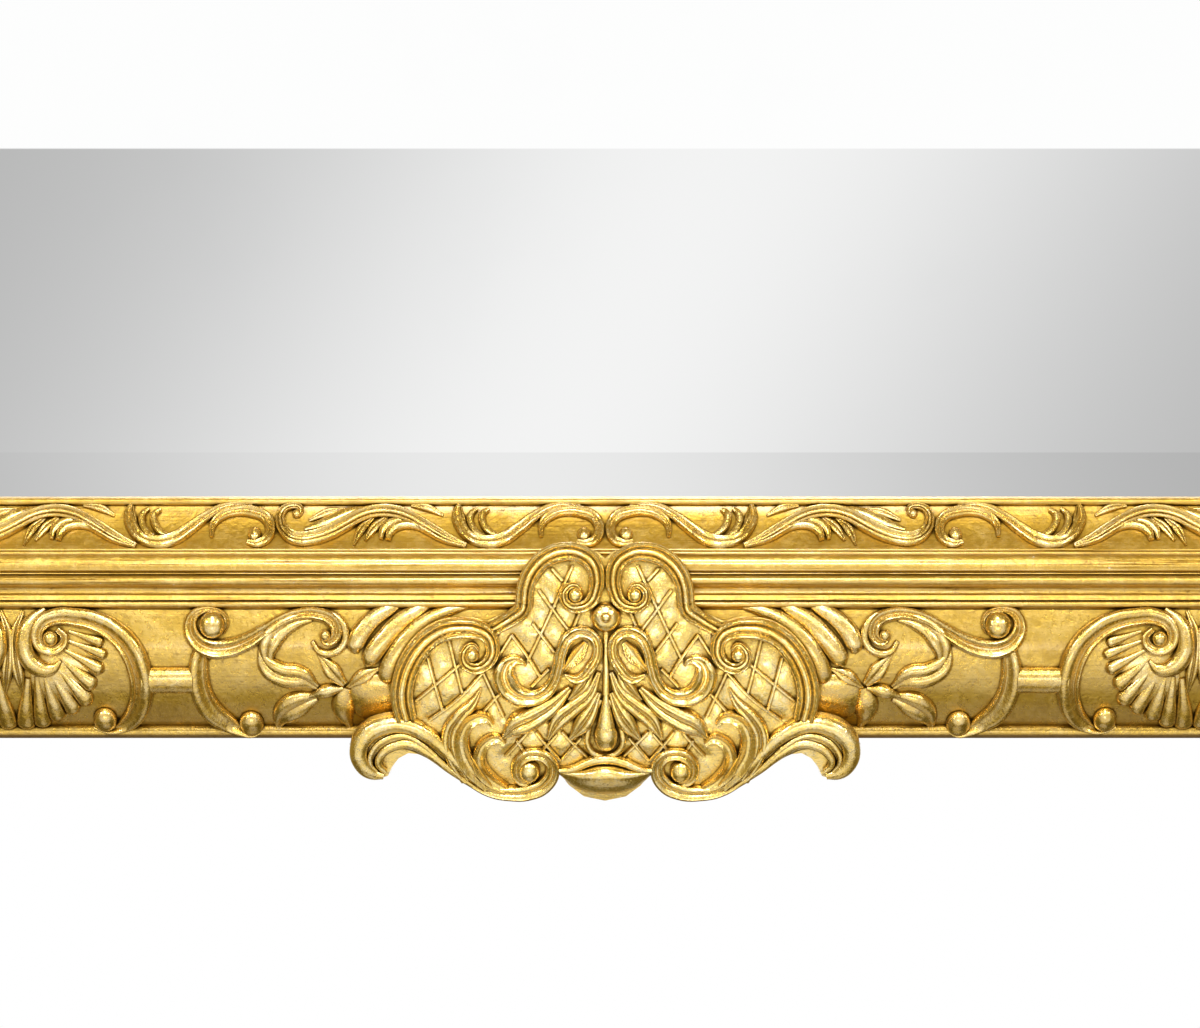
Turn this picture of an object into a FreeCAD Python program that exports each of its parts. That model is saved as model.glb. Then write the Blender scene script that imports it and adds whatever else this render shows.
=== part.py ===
"""Carved giltwood wall mirror with a bevelled plate.

A half-lapped pine back frame carries three rings of mitred mouldings: the sight moulding that
laps over the glass, a reeded band and an outer swell.  Carved cartouches are scribed over the
mouldings at the middle of each side and at each corner, and screwed from behind.  The plate
sits on setting blocks in the rebate, held by packing slips and a boarded back.  Two hinged
rings in mortises carry the mirror on the wall.

Frame: origin at the middle of the back, on the wall plane.  X runs to the right, Z up and the
front faces -Y.  In a rail's own section, v runs outward from the sight edge and depth forward
from the wall.
"""

import FreeCAD, Part
import math
import os

from FreeCAD import Vector

# Glass that shows inside the sight edge
SIGHT_WIDTH = 940.0
SIGHT_HEIGHT = 616.0

# Rail section, outward from the sight edge
SIGHT_BAND = 26.0
REED_BAND = 32.0
OUTER_BAND = 68.0
RAIL_WIDTH = SIGHT_BAND + REED_BAND + OUTER_BAND

# Back frame
BACK_DEPTH = 20.0
REBATE = 8.0
BACK_FRAME_WIDTH = 111.0
BACK_FRAME_EDGE = REBATE + BACK_FRAME_WIDTH
LAP_DEPTH = BACK_DEPTH / 2

# Sight moulding
SIGHT_EDGE_RISE = 6.5
SIGHT_BEAD_WIDTH = 4.0
SIGHT_BEAD_BULGE = 1.6
FRIEZE_RISE = 22.0
FRIEZE_HOLLOW = 1.5

# Reeded band: shares of its width, of its rise and, for a rounded member, its bulge over the rise
REED_RISE = 30.0
REED_PROFILE_SHARES = [
    (0.000, 0.750, 0.000),
    (0.050, 0.773, 0.017),
    (0.112, 0.793, 0.017),
    (0.131, 0.820, 0.000),
    (0.360, 0.900, 0.033),
    (0.394, 0.860, 0.000),
    (0.431, 0.860, 0.023),
    (0.450, 0.880, 0.000),
    (0.612, 0.867, 0.113),
    (0.766, 0.840, -0.053),
    (0.838, 0.867, 0.000),
    (0.856, 0.827, 0.000),
    (0.969, 0.820, 0.053),
    (1.000, 0.767, 0.000),
]

# Outer swell with its back fillet and the skirt over the back frame's edge
SWELL_RISE = 23.5
SWELL_BULGE = 8.0
FILLET_RISE = 2.6
FILLET_EDGE_RISE = 0.6
FILLET_BULGE = 2.6
SKIRT_BACK = 4.0

# Plate glass
GLASS_THICKNESS = 6.0
GLASS_IN_REBATE = 6.0
GLASS_FRONT = 21.5
BEVEL_WIDTH = 30.0
BEVEL_DROP = 2.0
GLASS_BACK = GLASS_FRONT - GLASS_THICKNESS
BEVEL_EDGE_DEPTH = GLASS_FRONT - BEVEL_DROP

# Boarded back, flush with the wall face
BOARD_THICKNESS = 9.0
BOARD_LEDGE = 12.0
BOARD_CLEARANCE = 1.0
BOARD_COUNT = 3
BOARD_LAP = 8.0
POCKET_EDGE = REBATE + BOARD_LEDGE

# Setting blocks and packing slips
BLOCK_LENGTH = 60.0
BLOCK_PLACE_SHARE = 0.25
SLIP_WIDTH = 22.0
PIN_RADIUS = 0.8
PIN_LENGTH = 28.0
PIN_HEAD_RADIUS = 1.6
PIN_HEAD_HEIGHT = 0.8
PIN_PLACE_SHARES = (-0.35, 0.0, 0.35)

# Hanging rings
RING_WIRE_RADIUS = 1.8
RING_BEND_RADIUS = 14.0
RING_ARM = 10.0
KNUCKLE_CLEARANCE = 0.08
KNUCKLE_WALL = 1.8
STRAP_THICKNESS = 1.4
STRAP_WIDTH = 20.0
STRAP_LENGTH = 70.0
MORTISE_DEPTH = 7.5
MORTISE_WIDTH = 44.0
MORTISE_ABOVE = 30.0
MORTISE_BELOW = 76.0
RING_BELOW_TOP = 150.0
STRAP_SCREW_DROPS = (38.0, 58.0)

# Countersunk wood screws
SCREW_RADIUS = 2.0
SCREW_HEAD_RADIUS = 4.0
SCREW_HEAD_HEIGHT = 2.6
SCREW_SLOT_WIDTH = 0.9
SCREW_SLOT_DEPTH = 1.0
SCREW_CLEARANCE = 0.1
LAP_SCREW_LENGTH = 17.0
LAP_SCREW_SHARES = ((0.29, 0.74), (0.74, 0.29))
BOARD_SCREW_LENGTH = 16.0
BOARD_SCREW_SHARES = (-0.3, 0.3)
STRAP_SCREW_LENGTH = 12.0
CARTOUCHE_SCREW_LENGTH = 48.0

# Cartouches: half width, height and the place of the top, out from the sight edge
CARTOUCHE_HALF = 133.6
CARTOUCHE_HEIGHT = 134.2
CARTOUCHE_TOP = 23.4
CARTOUCHE_BACK = 8.0
CROWN_TOP = 52.0
CROWN_SPAN = 170.0
CROWN_FALL = 34.0
CROWN_BULGE = 15.0
RIB_RISE = 5.0
BAND_HALF_WIDTH = 4.6
EYE_RADIUS = 4.4
BEAD_RADIUS = 8.0
CARTOUCHE_SCREW_OUT = 75.0
CARTOUCHE_SCREW_SPREAD = 45.0

# Bend that carries the same cartouche round a corner
CORNER_INSET = 30.0
CORNER_BEND_HALF = 100.0
CORNER_REACH_SHARE = 0.35
CORNER_CROWN_SHARE = 1.2
CORNER_SCREW_SPREAD = 25.0

# Right half of the cartouche's outline, in runs that meet at corners: shares of its half width
# from the axis, and of its height from its top
OUTLINE_SHARES = [
    [(0.000, 0.050), (0.040, 0.016), (0.163, 0.000), (0.298, 0.074), (0.348, 0.159), (0.350, 0.233)],
    [(0.350, 0.233), (0.416, 0.326)],
    [(0.416, 0.326), (0.440, 0.322), (0.533, 0.291), (0.667, 0.314), (0.767, 0.415), (0.816, 0.527),
     (0.818, 0.661)],
    [(0.818, 0.661), (0.883, 0.670), (0.940, 0.694), (0.984, 0.744), (0.995, 0.791), (0.975, 0.858),
     (0.930, 0.907), (0.866, 0.926), (0.837, 0.907)],
    [(0.837, 0.907), (0.805, 0.858), (0.782, 0.829), (0.747, 0.824), (0.693, 0.849), (0.584, 0.907),
     (0.469, 0.967), (0.370, 0.998), (0.278, 0.987), (0.206, 0.938), (0.179, 0.891)],
    [(0.179, 0.891), (0.136, 0.950), (0.078, 0.987), (0.000, 1.000)],
]

# Centre lines of the carved ribs on the right half, same shares, with a half width as a share
# of the band's half width at each point
PAIRED_SCROLL_SHARES = [
    (0.105, 0.225, 0.7), (0.047, 0.202, 0.9), (0.027, 0.132, 1.0), (0.066, 0.062, 1.0), (0.152, 0.033, 1.0),
    (0.241, 0.066, 1.0), (0.300, 0.155, 1.0), (0.319, 0.244, 1.0),
]
SHOULDER_SHARES = [(0.313, 0.256, 0.9), (0.366, 0.300, 0.9), (0.412, 0.345, 0.9)]
C_SCROLL_SHARES = [
    (0.510, 0.465, 0.7), (0.455, 0.438, 0.9), (0.443, 0.380, 1.0), (0.494, 0.330, 1.0), (0.584, 0.326, 1.1),
    (0.685, 0.376, 1.2), (0.751, 0.473, 1.2), (0.776, 0.570, 1.2), (0.776, 0.655, 1.1),
]
FOOT_SCROLL_SHARES = [
    (0.224, 0.880, 0.7), (0.233, 0.946, 0.9), (0.331, 0.981, 1.0), (0.465, 0.930, 1.3), (0.600, 0.845, 1.6),
    (0.720, 0.765, 1.7), (0.837, 0.717, 1.5), (0.930, 0.752, 1.3), (0.950, 0.833, 1.1), (0.905, 0.890, 0.9),
    (0.850, 0.895, 0.4),
]
TENDRIL_SHARES = [
    (0.045, 0.355, 0.7), (0.100, 0.336, 0.9), (0.165, 0.390, 0.9), (0.200, 0.500, 0.9), (0.257, 0.580, 0.9),
    (0.335, 0.595, 0.9), (0.410, 0.545, 0.9), (0.400, 0.460, 0.8), (0.340, 0.455, 0.4),
]
LEAF_SHARES = [
    [(0.012, 0.520, 0.5), (0.045, 0.630, 0.9), (0.125, 0.740, 0.4)],
    [(0.020, 0.470, 0.5), (0.090, 0.610, 0.9), (0.225, 0.738, 0.4)],
    [(0.110, 0.520, 0.5), (0.230, 0.640, 1.0), (0.395, 0.735, 0.4)],
    [(0.640, 0.830, 0.9), (0.620, 0.680, 1.1), (0.475, 0.540, 0.4)],
]
EYE_SHARES = [(0.105, 0.182), (0.504, 0.414), (0.288, 0.895)]
BEAD_SHARE = 0.288
DROP_SHARES = [(0.000, 0.590), (0.040, 0.690), (0.054, 0.755), (0.000, 0.812)]
LENS_SHARES = [(0.000, 0.828), (0.080, 0.845), (0.165, 0.880), (0.120, 0.950), (0.070, 0.980), (0.000, 0.990)]

# Extra reach of every cutting shape beyond what it cuts
CUT_OVERRUN = 20.0
RIBBON_STEPS = 10
SIDES = {
    "bottom": (0.0, SIGHT_WIDTH, SIGHT_HEIGHT),
    "right": (-90.0, SIGHT_HEIGHT, SIGHT_WIDTH),
    "top": (180.0, SIGHT_WIDTH, SIGHT_HEIGHT),
    "left": (90.0, SIGHT_HEIGHT, SIGHT_WIDTH),
}
CORNERS = {"bottom_right": 0.0, "top_right": -90.0, "top_left": 180.0, "bottom_left": 90.0}
Y_AXIS = Vector(0, 1, 0)
CENTRE = Vector(0, 0, 0)


def box(x_low, x_high, front_depth, back_depth, z_low, z_high):
    """A block between two depths from the wall."""
    low = Vector(x_low, -front_depth, z_low)
    return Part.makeBox(x_high - x_low, front_depth - back_depth, z_high - z_low, low)


def turned(shape, degrees, shift=CENTRE):
    """A copy moved by shift and then turned about the Y axis through the origin."""
    copy = shape.copy()
    copy.translate(shift)
    copy.rotate(CENTRE, Y_AXIS, degrees)
    return copy


def on_side(shape, side):
    """A shape made for a rail with its sight edge on z = 0, put on one side of the frame."""
    degrees, _, across = SIDES[side]
    return turned(shape, degrees, Vector(0, 0, -across / 2))


def arc_or_line(start, end, bulge, normal):
    """An edge from start to end that swells by bulge to the left of its run, seen along normal."""
    if bulge == 0:
        return Part.LineSegment(start, end).toShape()
    run = end - start
    middle = (start + end) / 2 + run.cross(normal).normalize() * bulge
    return Part.Arc(start, middle, end).toShape()


def section_face(points):
    """A face in the plane x = 0 from (v, depth, bulge) points, closed by a straight edge."""
    corners = [Vector(0, -depth, -v) for v, depth, _ in points]
    bulges = [bulge for _, _, bulge in points]
    edges = []
    for index, corner in enumerate(corners):
        following = (index + 1) % len(corners)
        edges.append(arc_or_line(corner, corners[following], bulges[following], Vector(1, 0, 0)))
    return Part.Face(Part.Wire(edges))


def long_rail(points, length):
    """A section run straight along X, centred, with square ends."""
    solid = section_face(points).extrude(Vector(length, 0, 0))
    solid.translate(Vector(-length / 2, 0, 0))
    return solid


def mitred_rail(points, sight_along):
    """A section run along one side and cut at 45 degrees where it meets its neighbours."""
    reach = RAIL_WIDTH + CUT_OVERRUN
    half = sight_along / 2
    outline = [
        Vector(-half + CUT_OVERRUN, 0, CUT_OVERRUN),
        Vector(half - CUT_OVERRUN, 0, CUT_OVERRUN),
        Vector(half + reach, 0, -reach),
        Vector(-half - reach, 0, -reach),
    ]
    wedge = Part.Face(Part.makePolygon(outline + outline[:1])).extrude(Vector(0, -BACK_DEPTH * 2 - REED_RISE, 0))
    wedge.translate(Vector(0, CUT_OVERRUN, 0))
    return long_rail(points, sight_along + reach * 2).common(wedge).Solids[0]


def sight_section():
    """The sight moulding: edge, bead and hollow frieze, lapping over the glass."""
    return [
        (0, BACK_DEPTH, 0),
        (0, BACK_DEPTH + SIGHT_EDGE_RISE, 0),
        (SIGHT_BEAD_WIDTH, BACK_DEPTH + SIGHT_EDGE_RISE, SIGHT_BEAD_BULGE),
        (SIGHT_BAND, BACK_DEPTH + FRIEZE_RISE, -FRIEZE_HOLLOW),
        (SIGHT_BAND, BACK_DEPTH, 0),
    ]


def reeded_section():
    """The reeded band between the sight moulding and the outer swell."""
    base = SIGHT_BAND
    points = [(base, BACK_DEPTH, 0)]
    for across_share, rise_share, bulge_share in REED_PROFILE_SHARES:
        point = (base + across_share * REED_BAND, BACK_DEPTH + rise_share * REED_RISE, bulge_share * REED_RISE)
        points.append(point)
    points.append((base + REED_BAND, BACK_DEPTH, 0))
    return points


def outer_section():
    """The outer swell, its back fillet and the skirt that hides the back frame."""
    start = SIGHT_BAND + REED_BAND
    return [
        (start, BACK_DEPTH, 0),
        (start, BACK_DEPTH + SWELL_RISE, 0),
        (BACK_FRAME_EDGE, BACK_DEPTH + FILLET_RISE, SWELL_BULGE),
        (RAIL_WIDTH, BACK_DEPTH + FILLET_EDGE_RISE, FILLET_BULGE),
        (RAIL_WIDTH, SKIRT_BACK, 0),
        (BACK_FRAME_EDGE, SKIRT_BACK, 0),
        (BACK_FRAME_EDGE, BACK_DEPTH, 0),
    ]


def outer_section_below_back_frame():
    """The outer section with its skirt's inner face stopped at the back frame's front face."""
    points = outer_section()
    return [point for point in points if point[:2] != (BACK_FRAME_EDGE, BACK_DEPTH)]


def mouldings():
    """Three mitred mouldings on each of the four sides."""
    sections = {
        "sight_moulding": sight_section(),
        "reeded_moulding": reeded_section(),
        "outer_moulding": outer_section(),
    }
    made = {}
    for name, points in sections.items():
        for side, (_, along, _) in SIDES.items():
            made[f"{name}_{side}"] = on_side(mitred_rail(points, along), side)
    return made


def back_frame():
    """Rails and stiles half-lapped at the corners, with a pocket for the boards behind."""
    half_x, half_z = SIGHT_WIDTH / 2, SIGHT_HEIGHT / 2
    outer_x, outer_z = half_x + BACK_FRAME_EDGE, half_z + BACK_FRAME_EDGE
    inner_x, inner_z = half_x + REBATE, half_z + REBATE
    pocket_x, pocket_z = half_x + POCKET_EDGE, half_z + POCKET_EDGE
    pocket = box(-pocket_x, pocket_x, BOARD_THICKNESS, -CUT_OVERRUN, -pocket_z, pocket_z)
    far_x, far_z = outer_x + CUT_OVERRUN, outer_z + CUT_OVERRUN
    rail = box(-outer_x, outer_x, BACK_DEPTH, 0, -outer_z, -inner_z).cut(pocket)
    stile = box(inner_x, outer_x, BACK_DEPTH, 0, -outer_z, outer_z).cut(pocket)
    for sign in (-1, 1):
        ends = sorted((sign * inner_x, sign * far_x))
        rail = rail.cut(box(*ends, BACK_DEPTH + CUT_OVERRUN, LAP_DEPTH, -far_z, 0))
        ends = sorted((sign * inner_z, sign * far_z))
        stile = stile.cut(box(0, far_x, LAP_DEPTH, -CUT_OVERRUN, *ends))
    stile = stile.cut(mortise())
    return {
        "back_bottom_rail": rail,
        "back_top_rail": turned(rail, 180),
        "back_right_stile": stile,
        "back_left_stile": stile.mirror(CENTRE, Vector(1, 0, 0)),
    }


def mirror_glass():
    """A plate with a wide bevel all round."""
    half_x, half_z = SIGHT_WIDTH / 2 + GLASS_IN_REBATE, SIGHT_HEIGHT / 2 + GLASS_IN_REBATE
    slab = box(-half_x, half_x, BEVEL_EDGE_DEPTH, GLASS_BACK, -half_z, half_z)

    def outline(inset, depth):
        x, z = half_x - inset, half_z - inset
        ring = [Vector(-x, -depth, -z), Vector(x, -depth, -z), Vector(x, -depth, z), Vector(-x, -depth, z)]
        return Part.makePolygon(ring + ring[:1])

    bevel = Part.makeLoft([outline(0, BEVEL_EDGE_DEPTH), outline(BEVEL_WIDTH, GLASS_FRONT)], True, True)
    return slab.fuse(bevel).removeSplitter().Solids[0]


def setting_blocks():
    """Blocks in the rebate under the glass and at its sides."""
    half_x, half_z = SIGHT_WIDTH / 2, SIGHT_HEIGHT / 2
    half_length = BLOCK_LENGTH / 2
    blocks = []
    for sign in (-1, 1):
        place = sign * SIGHT_WIDTH * BLOCK_PLACE_SHARE
        foot = (-half_z - REBATE, -half_z - GLASS_IN_REBATE)
        blocks.append(box(place - half_length, place + half_length, BEVEL_EDGE_DEPTH, GLASS_BACK, *foot))
        ends = sorted((sign * (half_x + GLASS_IN_REBATE), sign * (half_x + REBATE)))
        blocks.append(box(*ends, BEVEL_EDGE_DEPTH, GLASS_BACK, -half_length, half_length))
    return Part.makeCompound(blocks)


def packing_slips():
    """Slips between the glass and the boards, butted at the corners."""
    edge_x, edge_z = SIGHT_WIDTH / 2 + GLASS_IN_REBATE, SIGHT_HEIGHT / 2 + GLASS_IN_REBATE
    lying = box(-edge_x, edge_x, GLASS_BACK, BOARD_THICKNESS, -edge_z, -edge_z + SLIP_WIDTH)
    rise = edge_z - SLIP_WIDTH
    standing = box(edge_x - SLIP_WIDTH, edge_x, GLASS_BACK, BOARD_THICKNESS, -rise, rise)
    return {
        "packing_slip_bottom": lying,
        "packing_slip_top": turned(lying, 180),
        "packing_slip_right": standing,
        "packing_slip_left": turned(standing, 180),
    }


def packing_pins(clearance=0.0):
    """Headed pins through the slips into the back frame, or with a clearance the holes they need."""
    depth = (GLASS_BACK + BOARD_THICKNESS) / 2
    top = SLIP_WIDTH - GLASS_IN_REBATE
    down = Vector(0, 0, -1)
    pins = []
    for side, (_, along, _) in SIDES.items():
        for share in PIN_PLACE_SHARES:
            head = Vector(share * along, -depth, top)
            pin = Part.makeCylinder(PIN_RADIUS + clearance, PIN_LENGTH + clearance, head, down)
            if clearance == 0:
                cap = Part.makeCylinder(PIN_HEAD_RADIUS, PIN_HEAD_HEIGHT, head, Vector(0, 0, 1))
                pin = pin.fuse(cap)
            pins.append(on_side(pin, side))
    return pins


def backboards():
    """Upright boards, half-lapped edge to edge and flush with the wall face."""
    edge_x = SIGHT_WIDTH / 2 + POCKET_EDGE - BOARD_CLEARANCE
    edge_z = SIGHT_HEIGHT / 2 + POCKET_EDGE - BOARD_CLEARANCE
    width = edge_x * 2 / BOARD_COUNT
    half_depth = BOARD_THICKNESS / 2
    boards = []
    for index in range(BOARD_COUNT):
        left = -edge_x + index * width
        right = left + width
        board = box(left, right, BOARD_THICKNESS, 0, -edge_z, edge_z)
        if index < BOARD_COUNT - 1:
            tongue = box(right, right + BOARD_LAP, BOARD_THICKNESS, half_depth, -edge_z, edge_z)
            board = board.fuse(tongue).removeSplitter()
        if index > 0:
            beyond = edge_z + CUT_OVERRUN
            over = BOARD_THICKNESS + CUT_OVERRUN
            groove = box(left - CUT_OVERRUN, left + BOARD_LAP, over, half_depth, -beyond, beyond)
            board = board.cut(groove)
        boards.append(board.Solids[0])
    return boards


def ring_centre():
    """The right ring's hinge, on the middle of the back stile, in its mortise."""
    x = SIGHT_WIDTH / 2 + REBATE + BACK_FRAME_WIDTH / 2
    return Vector(x, -(MORTISE_DEPTH - knuckle_radius()), SIGHT_HEIGHT / 2 - RING_BELOW_TOP)


def knuckle_radius():
    """Outside radius of the strap's curl round the ring."""
    return RING_WIRE_RADIUS + KNUCKLE_CLEARANCE + KNUCKLE_WALL


def mortise():
    """The pocket in the right stile that sinks the strap and the ring below the wall face."""
    at = ring_centre()
    half = MORTISE_WIDTH / 2
    below, above = at.z - MORTISE_BELOW, at.z + MORTISE_ABOVE
    return box(at.x - half, at.x + half, MORTISE_DEPTH, -CUT_OVERRUN, below, above)


def hanger_strap():
    """A steel strap whose upper end is curled round the ring."""
    at = ring_centre()
    half = STRAP_WIDTH / 2
    face = MORTISE_DEPTH - STRAP_THICKNESS
    plate = box(at.x - half, at.x + half, MORTISE_DEPTH, face, at.z - STRAP_LENGTH, at.z)
    start = at - Vector(half, 0, 0)
    curl = Part.makeCylinder(knuckle_radius(), STRAP_WIDTH, start, Vector(1, 0, 0))
    bore = Part.makeCylinder(RING_WIRE_RADIUS + KNUCKLE_CLEARANCE, STRAP_WIDTH, start, Vector(1, 0, 0))
    return plate.fuse(curl).cut(bore).removeSplitter()


def hanging_ring():
    """A D-shaped ring that hangs down over its strap at rest."""
    at = ring_centre()
    half = RING_BEND_RADIUS
    sideways, down = Vector(1, 0, 0), Vector(0, 0, -1)
    pin = Part.makeCylinder(RING_WIRE_RADIUS, half * 2, at - sideways * half, sideways)
    low = at + down * RING_ARM
    bend = Part.makeTorus(half, RING_WIRE_RADIUS, low, Y_AXIS, 0, 360, 360)
    below = box(at.x - half * 2, at.x + half * 2, half, -half, low.z - half * 2, low.z)
    pieces = [bend.common(below)]
    for sign in (-1, 1):
        top = at + sideways * (sign * half)
        pieces.append(Part.makeCylinder(RING_WIRE_RADIUS, RING_ARM, top, down))
        pieces.append(Part.makeSphere(RING_WIRE_RADIUS, top))
    return pin.multiFuse(pieces).removeSplitter()


def screw(x, z, head_depth, length, clearance=0.0):
    """A countersunk screw driven forward from behind, or with a clearance the hole it needs."""
    head = Vector(x, -head_depth, z)
    forward = Vector(0, -1, 0)
    narrow, wide = SCREW_RADIUS + clearance, SCREW_HEAD_RADIUS + clearance
    cone = Part.makeCone(wide, narrow, SCREW_HEAD_HEIGHT, head, forward)
    solid = cone.fuse(Part.makeCylinder(narrow, length + clearance, head, forward))
    if clearance == 0:
        half = SCREW_SLOT_WIDTH / 2
        slot = box(x - wide, x + wide, head_depth + SCREW_SLOT_DEPTH, head_depth, z - half, z + half)
        return solid.cut(slot).removeSplitter()
    lead_in = Part.makeCylinder(wide, CUT_OVERRUN, head, Y_AXIS)
    return solid.fuse(lead_in).removeSplitter()


def screw_places():
    """Name, head depth, length and (x, z) places of every group of screws."""
    half_x, half_z = SIGHT_WIDTH / 2, SIGHT_HEIGHT / 2
    laps, boards, straps, carvings = [], [], [], []
    for sign_x in (-1, 1):
        for sign_z in (-1, 1):
            for share_x, share_z in LAP_SCREW_SHARES:
                x = half_x + REBATE + share_x * BACK_FRAME_WIDTH
                z = half_z + REBATE + share_z * BACK_FRAME_WIDTH
                laps.append((sign_x * x, sign_z * z))
    ledge = REBATE + BOARD_LEDGE / 2
    board_width = (half_x + POCKET_EDGE - BOARD_CLEARANCE) * 2 / BOARD_COUNT
    for index in range(BOARD_COUNT):
        middle = (index - (BOARD_COUNT - 1) / 2) * board_width
        for share in BOARD_SCREW_SHARES:
            for sign_z in (-1, 1):
                boards.append((middle + share * board_width, sign_z * (half_z + ledge)))
    for share in BOARD_SCREW_SHARES:
        for sign_x in (-1, 1):
            boards.append((sign_x * (half_x + ledge), share * SIGHT_HEIGHT))
    at = ring_centre()
    for sign_x in (-1, 1):
        for drop in STRAP_SCREW_DROPS:
            straps.append((sign_x * at.x, at.z - drop))
    for side in SIDES:
        for sign in (-1, 1):
            point = Vector(sign * CARTOUCHE_SCREW_SPREAD, 0, -CARTOUCHE_SCREW_OUT)
            place = on_side(Part.Vertex(point), side).Point
            carvings.append((place.x, place.z))
    for corner, degrees in CORNERS.items():
        for sign in (-1, 1):
            local = bent(sign * CORNER_SCREW_SPREAD, CARTOUCHE_SCREW_OUT)
            place = at_corner(Part.Vertex(Vector(local[0], 0, local[1])), corner).Point
            carvings.append((place.x, place.z))
    return {
        "lap_screws": (0.0, LAP_SCREW_LENGTH, laps),
        "backboard_screws": (0.0, BOARD_SCREW_LENGTH, boards),
        "hanger_screws": (MORTISE_DEPTH - STRAP_THICKNESS, STRAP_SCREW_LENGTH, straps),
        "cartouche_screws": (0.0, CARTOUCHE_SCREW_LENGTH, carvings),
    }


def straight(along, out):
    """The plan place (x, z) of a point on a rail whose sight edge is on z = 0."""
    return along, -out


def bent(along, out):
    """The plan place of the same point carried round the bottom right corner.

    The bend turns about a point inside the sight corner, which is the plan origin here.
    """
    inset = CORNER_INSET
    beyond = abs(along) - CORNER_BEND_HALF
    if beyond >= 0:
        if along > 0:
            return out, inset + beyond
        return -inset - beyond, -out
    angle = math.pi / 4 * along / CORNER_BEND_HALF
    radius = inset + out * (1 + CORNER_REACH_SHARE * math.cos(2 * angle) ** 2)
    heading = angle - math.pi / 4
    return radius * math.cos(heading) - inset, radius * math.sin(heading) + inset


def at_corner(shape, corner):
    """A shape made about the bottom right sight corner as origin, put at one of the corners."""
    spin = shape.copy()
    spin.rotate(CENTRE, Y_AXIS, CORNERS[corner])
    sign_x = 1 if corner.endswith("right") else -1
    sign_z = 1 if corner.startswith("top") else -1
    spin.translate(Vector(sign_x * SIGHT_WIDTH / 2, 0, sign_z * SIGHT_HEIGHT / 2))
    return spin


def crown_section(rise, stretch):
    """The swelling front of a cartouche, raised by rise and stretched outward from the sight edge."""
    low = CARTOUCHE_BACK
    start, end = 0, CROWN_SPAN * stretch
    return [
        (start, low, 0),
        (start, CROWN_TOP + rise, 0),
        (end, CROWN_TOP - CROWN_FALL + rise, CROWN_BULGE),
        (end, low, 0),
    ]


def straight_crown(rise):
    """The crown run straight behind a cartouche in the middle of a side."""
    return long_rail(crown_section(rise, 1), (CARTOUCHE_HALF + CUT_OVERRUN) * 2)


def corner_crown(rise):
    """The crown turned about the centre of the corner's bend."""
    face = section_face(crown_section(rise, CORNER_CROWN_SHARE))
    face.translate(Vector(0, 0, -CORNER_INSET))
    ring = face.revolve(CENTRE, Y_AXIS, 360)
    ring.translate(Vector(-CORNER_INSET, 0, CORNER_INSET))
    return ring


def cartouche_place(plan, share_x, share_z):
    """A point of the cartouche's drawing on the wall plane."""
    x, z = plan(share_x * CARTOUCHE_HALF, CARTOUCHE_TOP + share_z * CARTOUCHE_HEIGHT)
    return Vector(x, 0, z)


def smooth_edge(points):
    """A smooth edge through the points, or a line between two."""
    if len(points) == 2:
        return Part.LineSegment(*points).toShape()
    curve = Part.BSplineCurve()
    curve.interpolate(points)
    return curve.toShape()


def forward_prism(edges):
    """A closed outline on the wall plane carried forward past the crown."""
    face = Part.Face(Part.Wire(Part.__sortEdges__(edges)))
    return face.extrude(Vector(0, -(CROWN_TOP + CROWN_BULGE + RIB_RISE + CUT_OVERRUN), 0))


def outline_prism(plan, runs):
    """The prism of an outline whose right half is given in runs of shares."""
    edges = []
    for run in runs:
        for sign in (-1, 1):
            edges.append(smooth_edge([cartouche_place(plan, sign * x, z) for x, z in run]))
    return forward_prism(edges)


def ribbon_prism(plan, sign, shares):
    """The prism of a rib along a centre line, with its own half width at each point."""
    centres = [cartouche_place(plan, sign * x, z) for x, z, _ in shares]
    widths = [share * BAND_HALF_WIDTH for _, _, share in shares]
    curve = Part.BSplineCurve()
    curve.interpolate(centres)
    knots = [curve.parameter(point) for point in centres]
    left, right = [], []
    last = len(shares) - 1
    for step in range(RIBBON_STEPS * last + 1):
        index = min(step // RIBBON_STEPS, last - 1)
        part = step / RIBBON_STEPS - index
        at = knots[index] + (knots[index + 1] - knots[index]) * part
        half = widths[index] + (widths[index + 1] - widths[index]) * part
        tangent = curve.tangent(at)[0]
        offset = tangent.cross(Y_AXIS).normalize() * half
        if step % (RIBBON_STEPS // 2) == 0:
            left.append(curve.value(at) + offset)
            right.append(curve.value(at) - offset)
    ends = [Part.LineSegment(left[0], right[0]).toShape(), Part.LineSegment(left[-1], right[-1]).toShape()]
    return forward_prism([smooth_edge(left), smooth_edge(right)] + ends)


def disc_prism(plan, share_x, share_z, radius):
    """The prism of a round boss."""
    at = cartouche_place(plan, share_x, share_z)
    length = CROWN_TOP + CROWN_BULGE + RIB_RISE + CUT_OVERRUN
    return Part.makeCylinder(radius, length, at, Vector(0, -1, 0))


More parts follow.
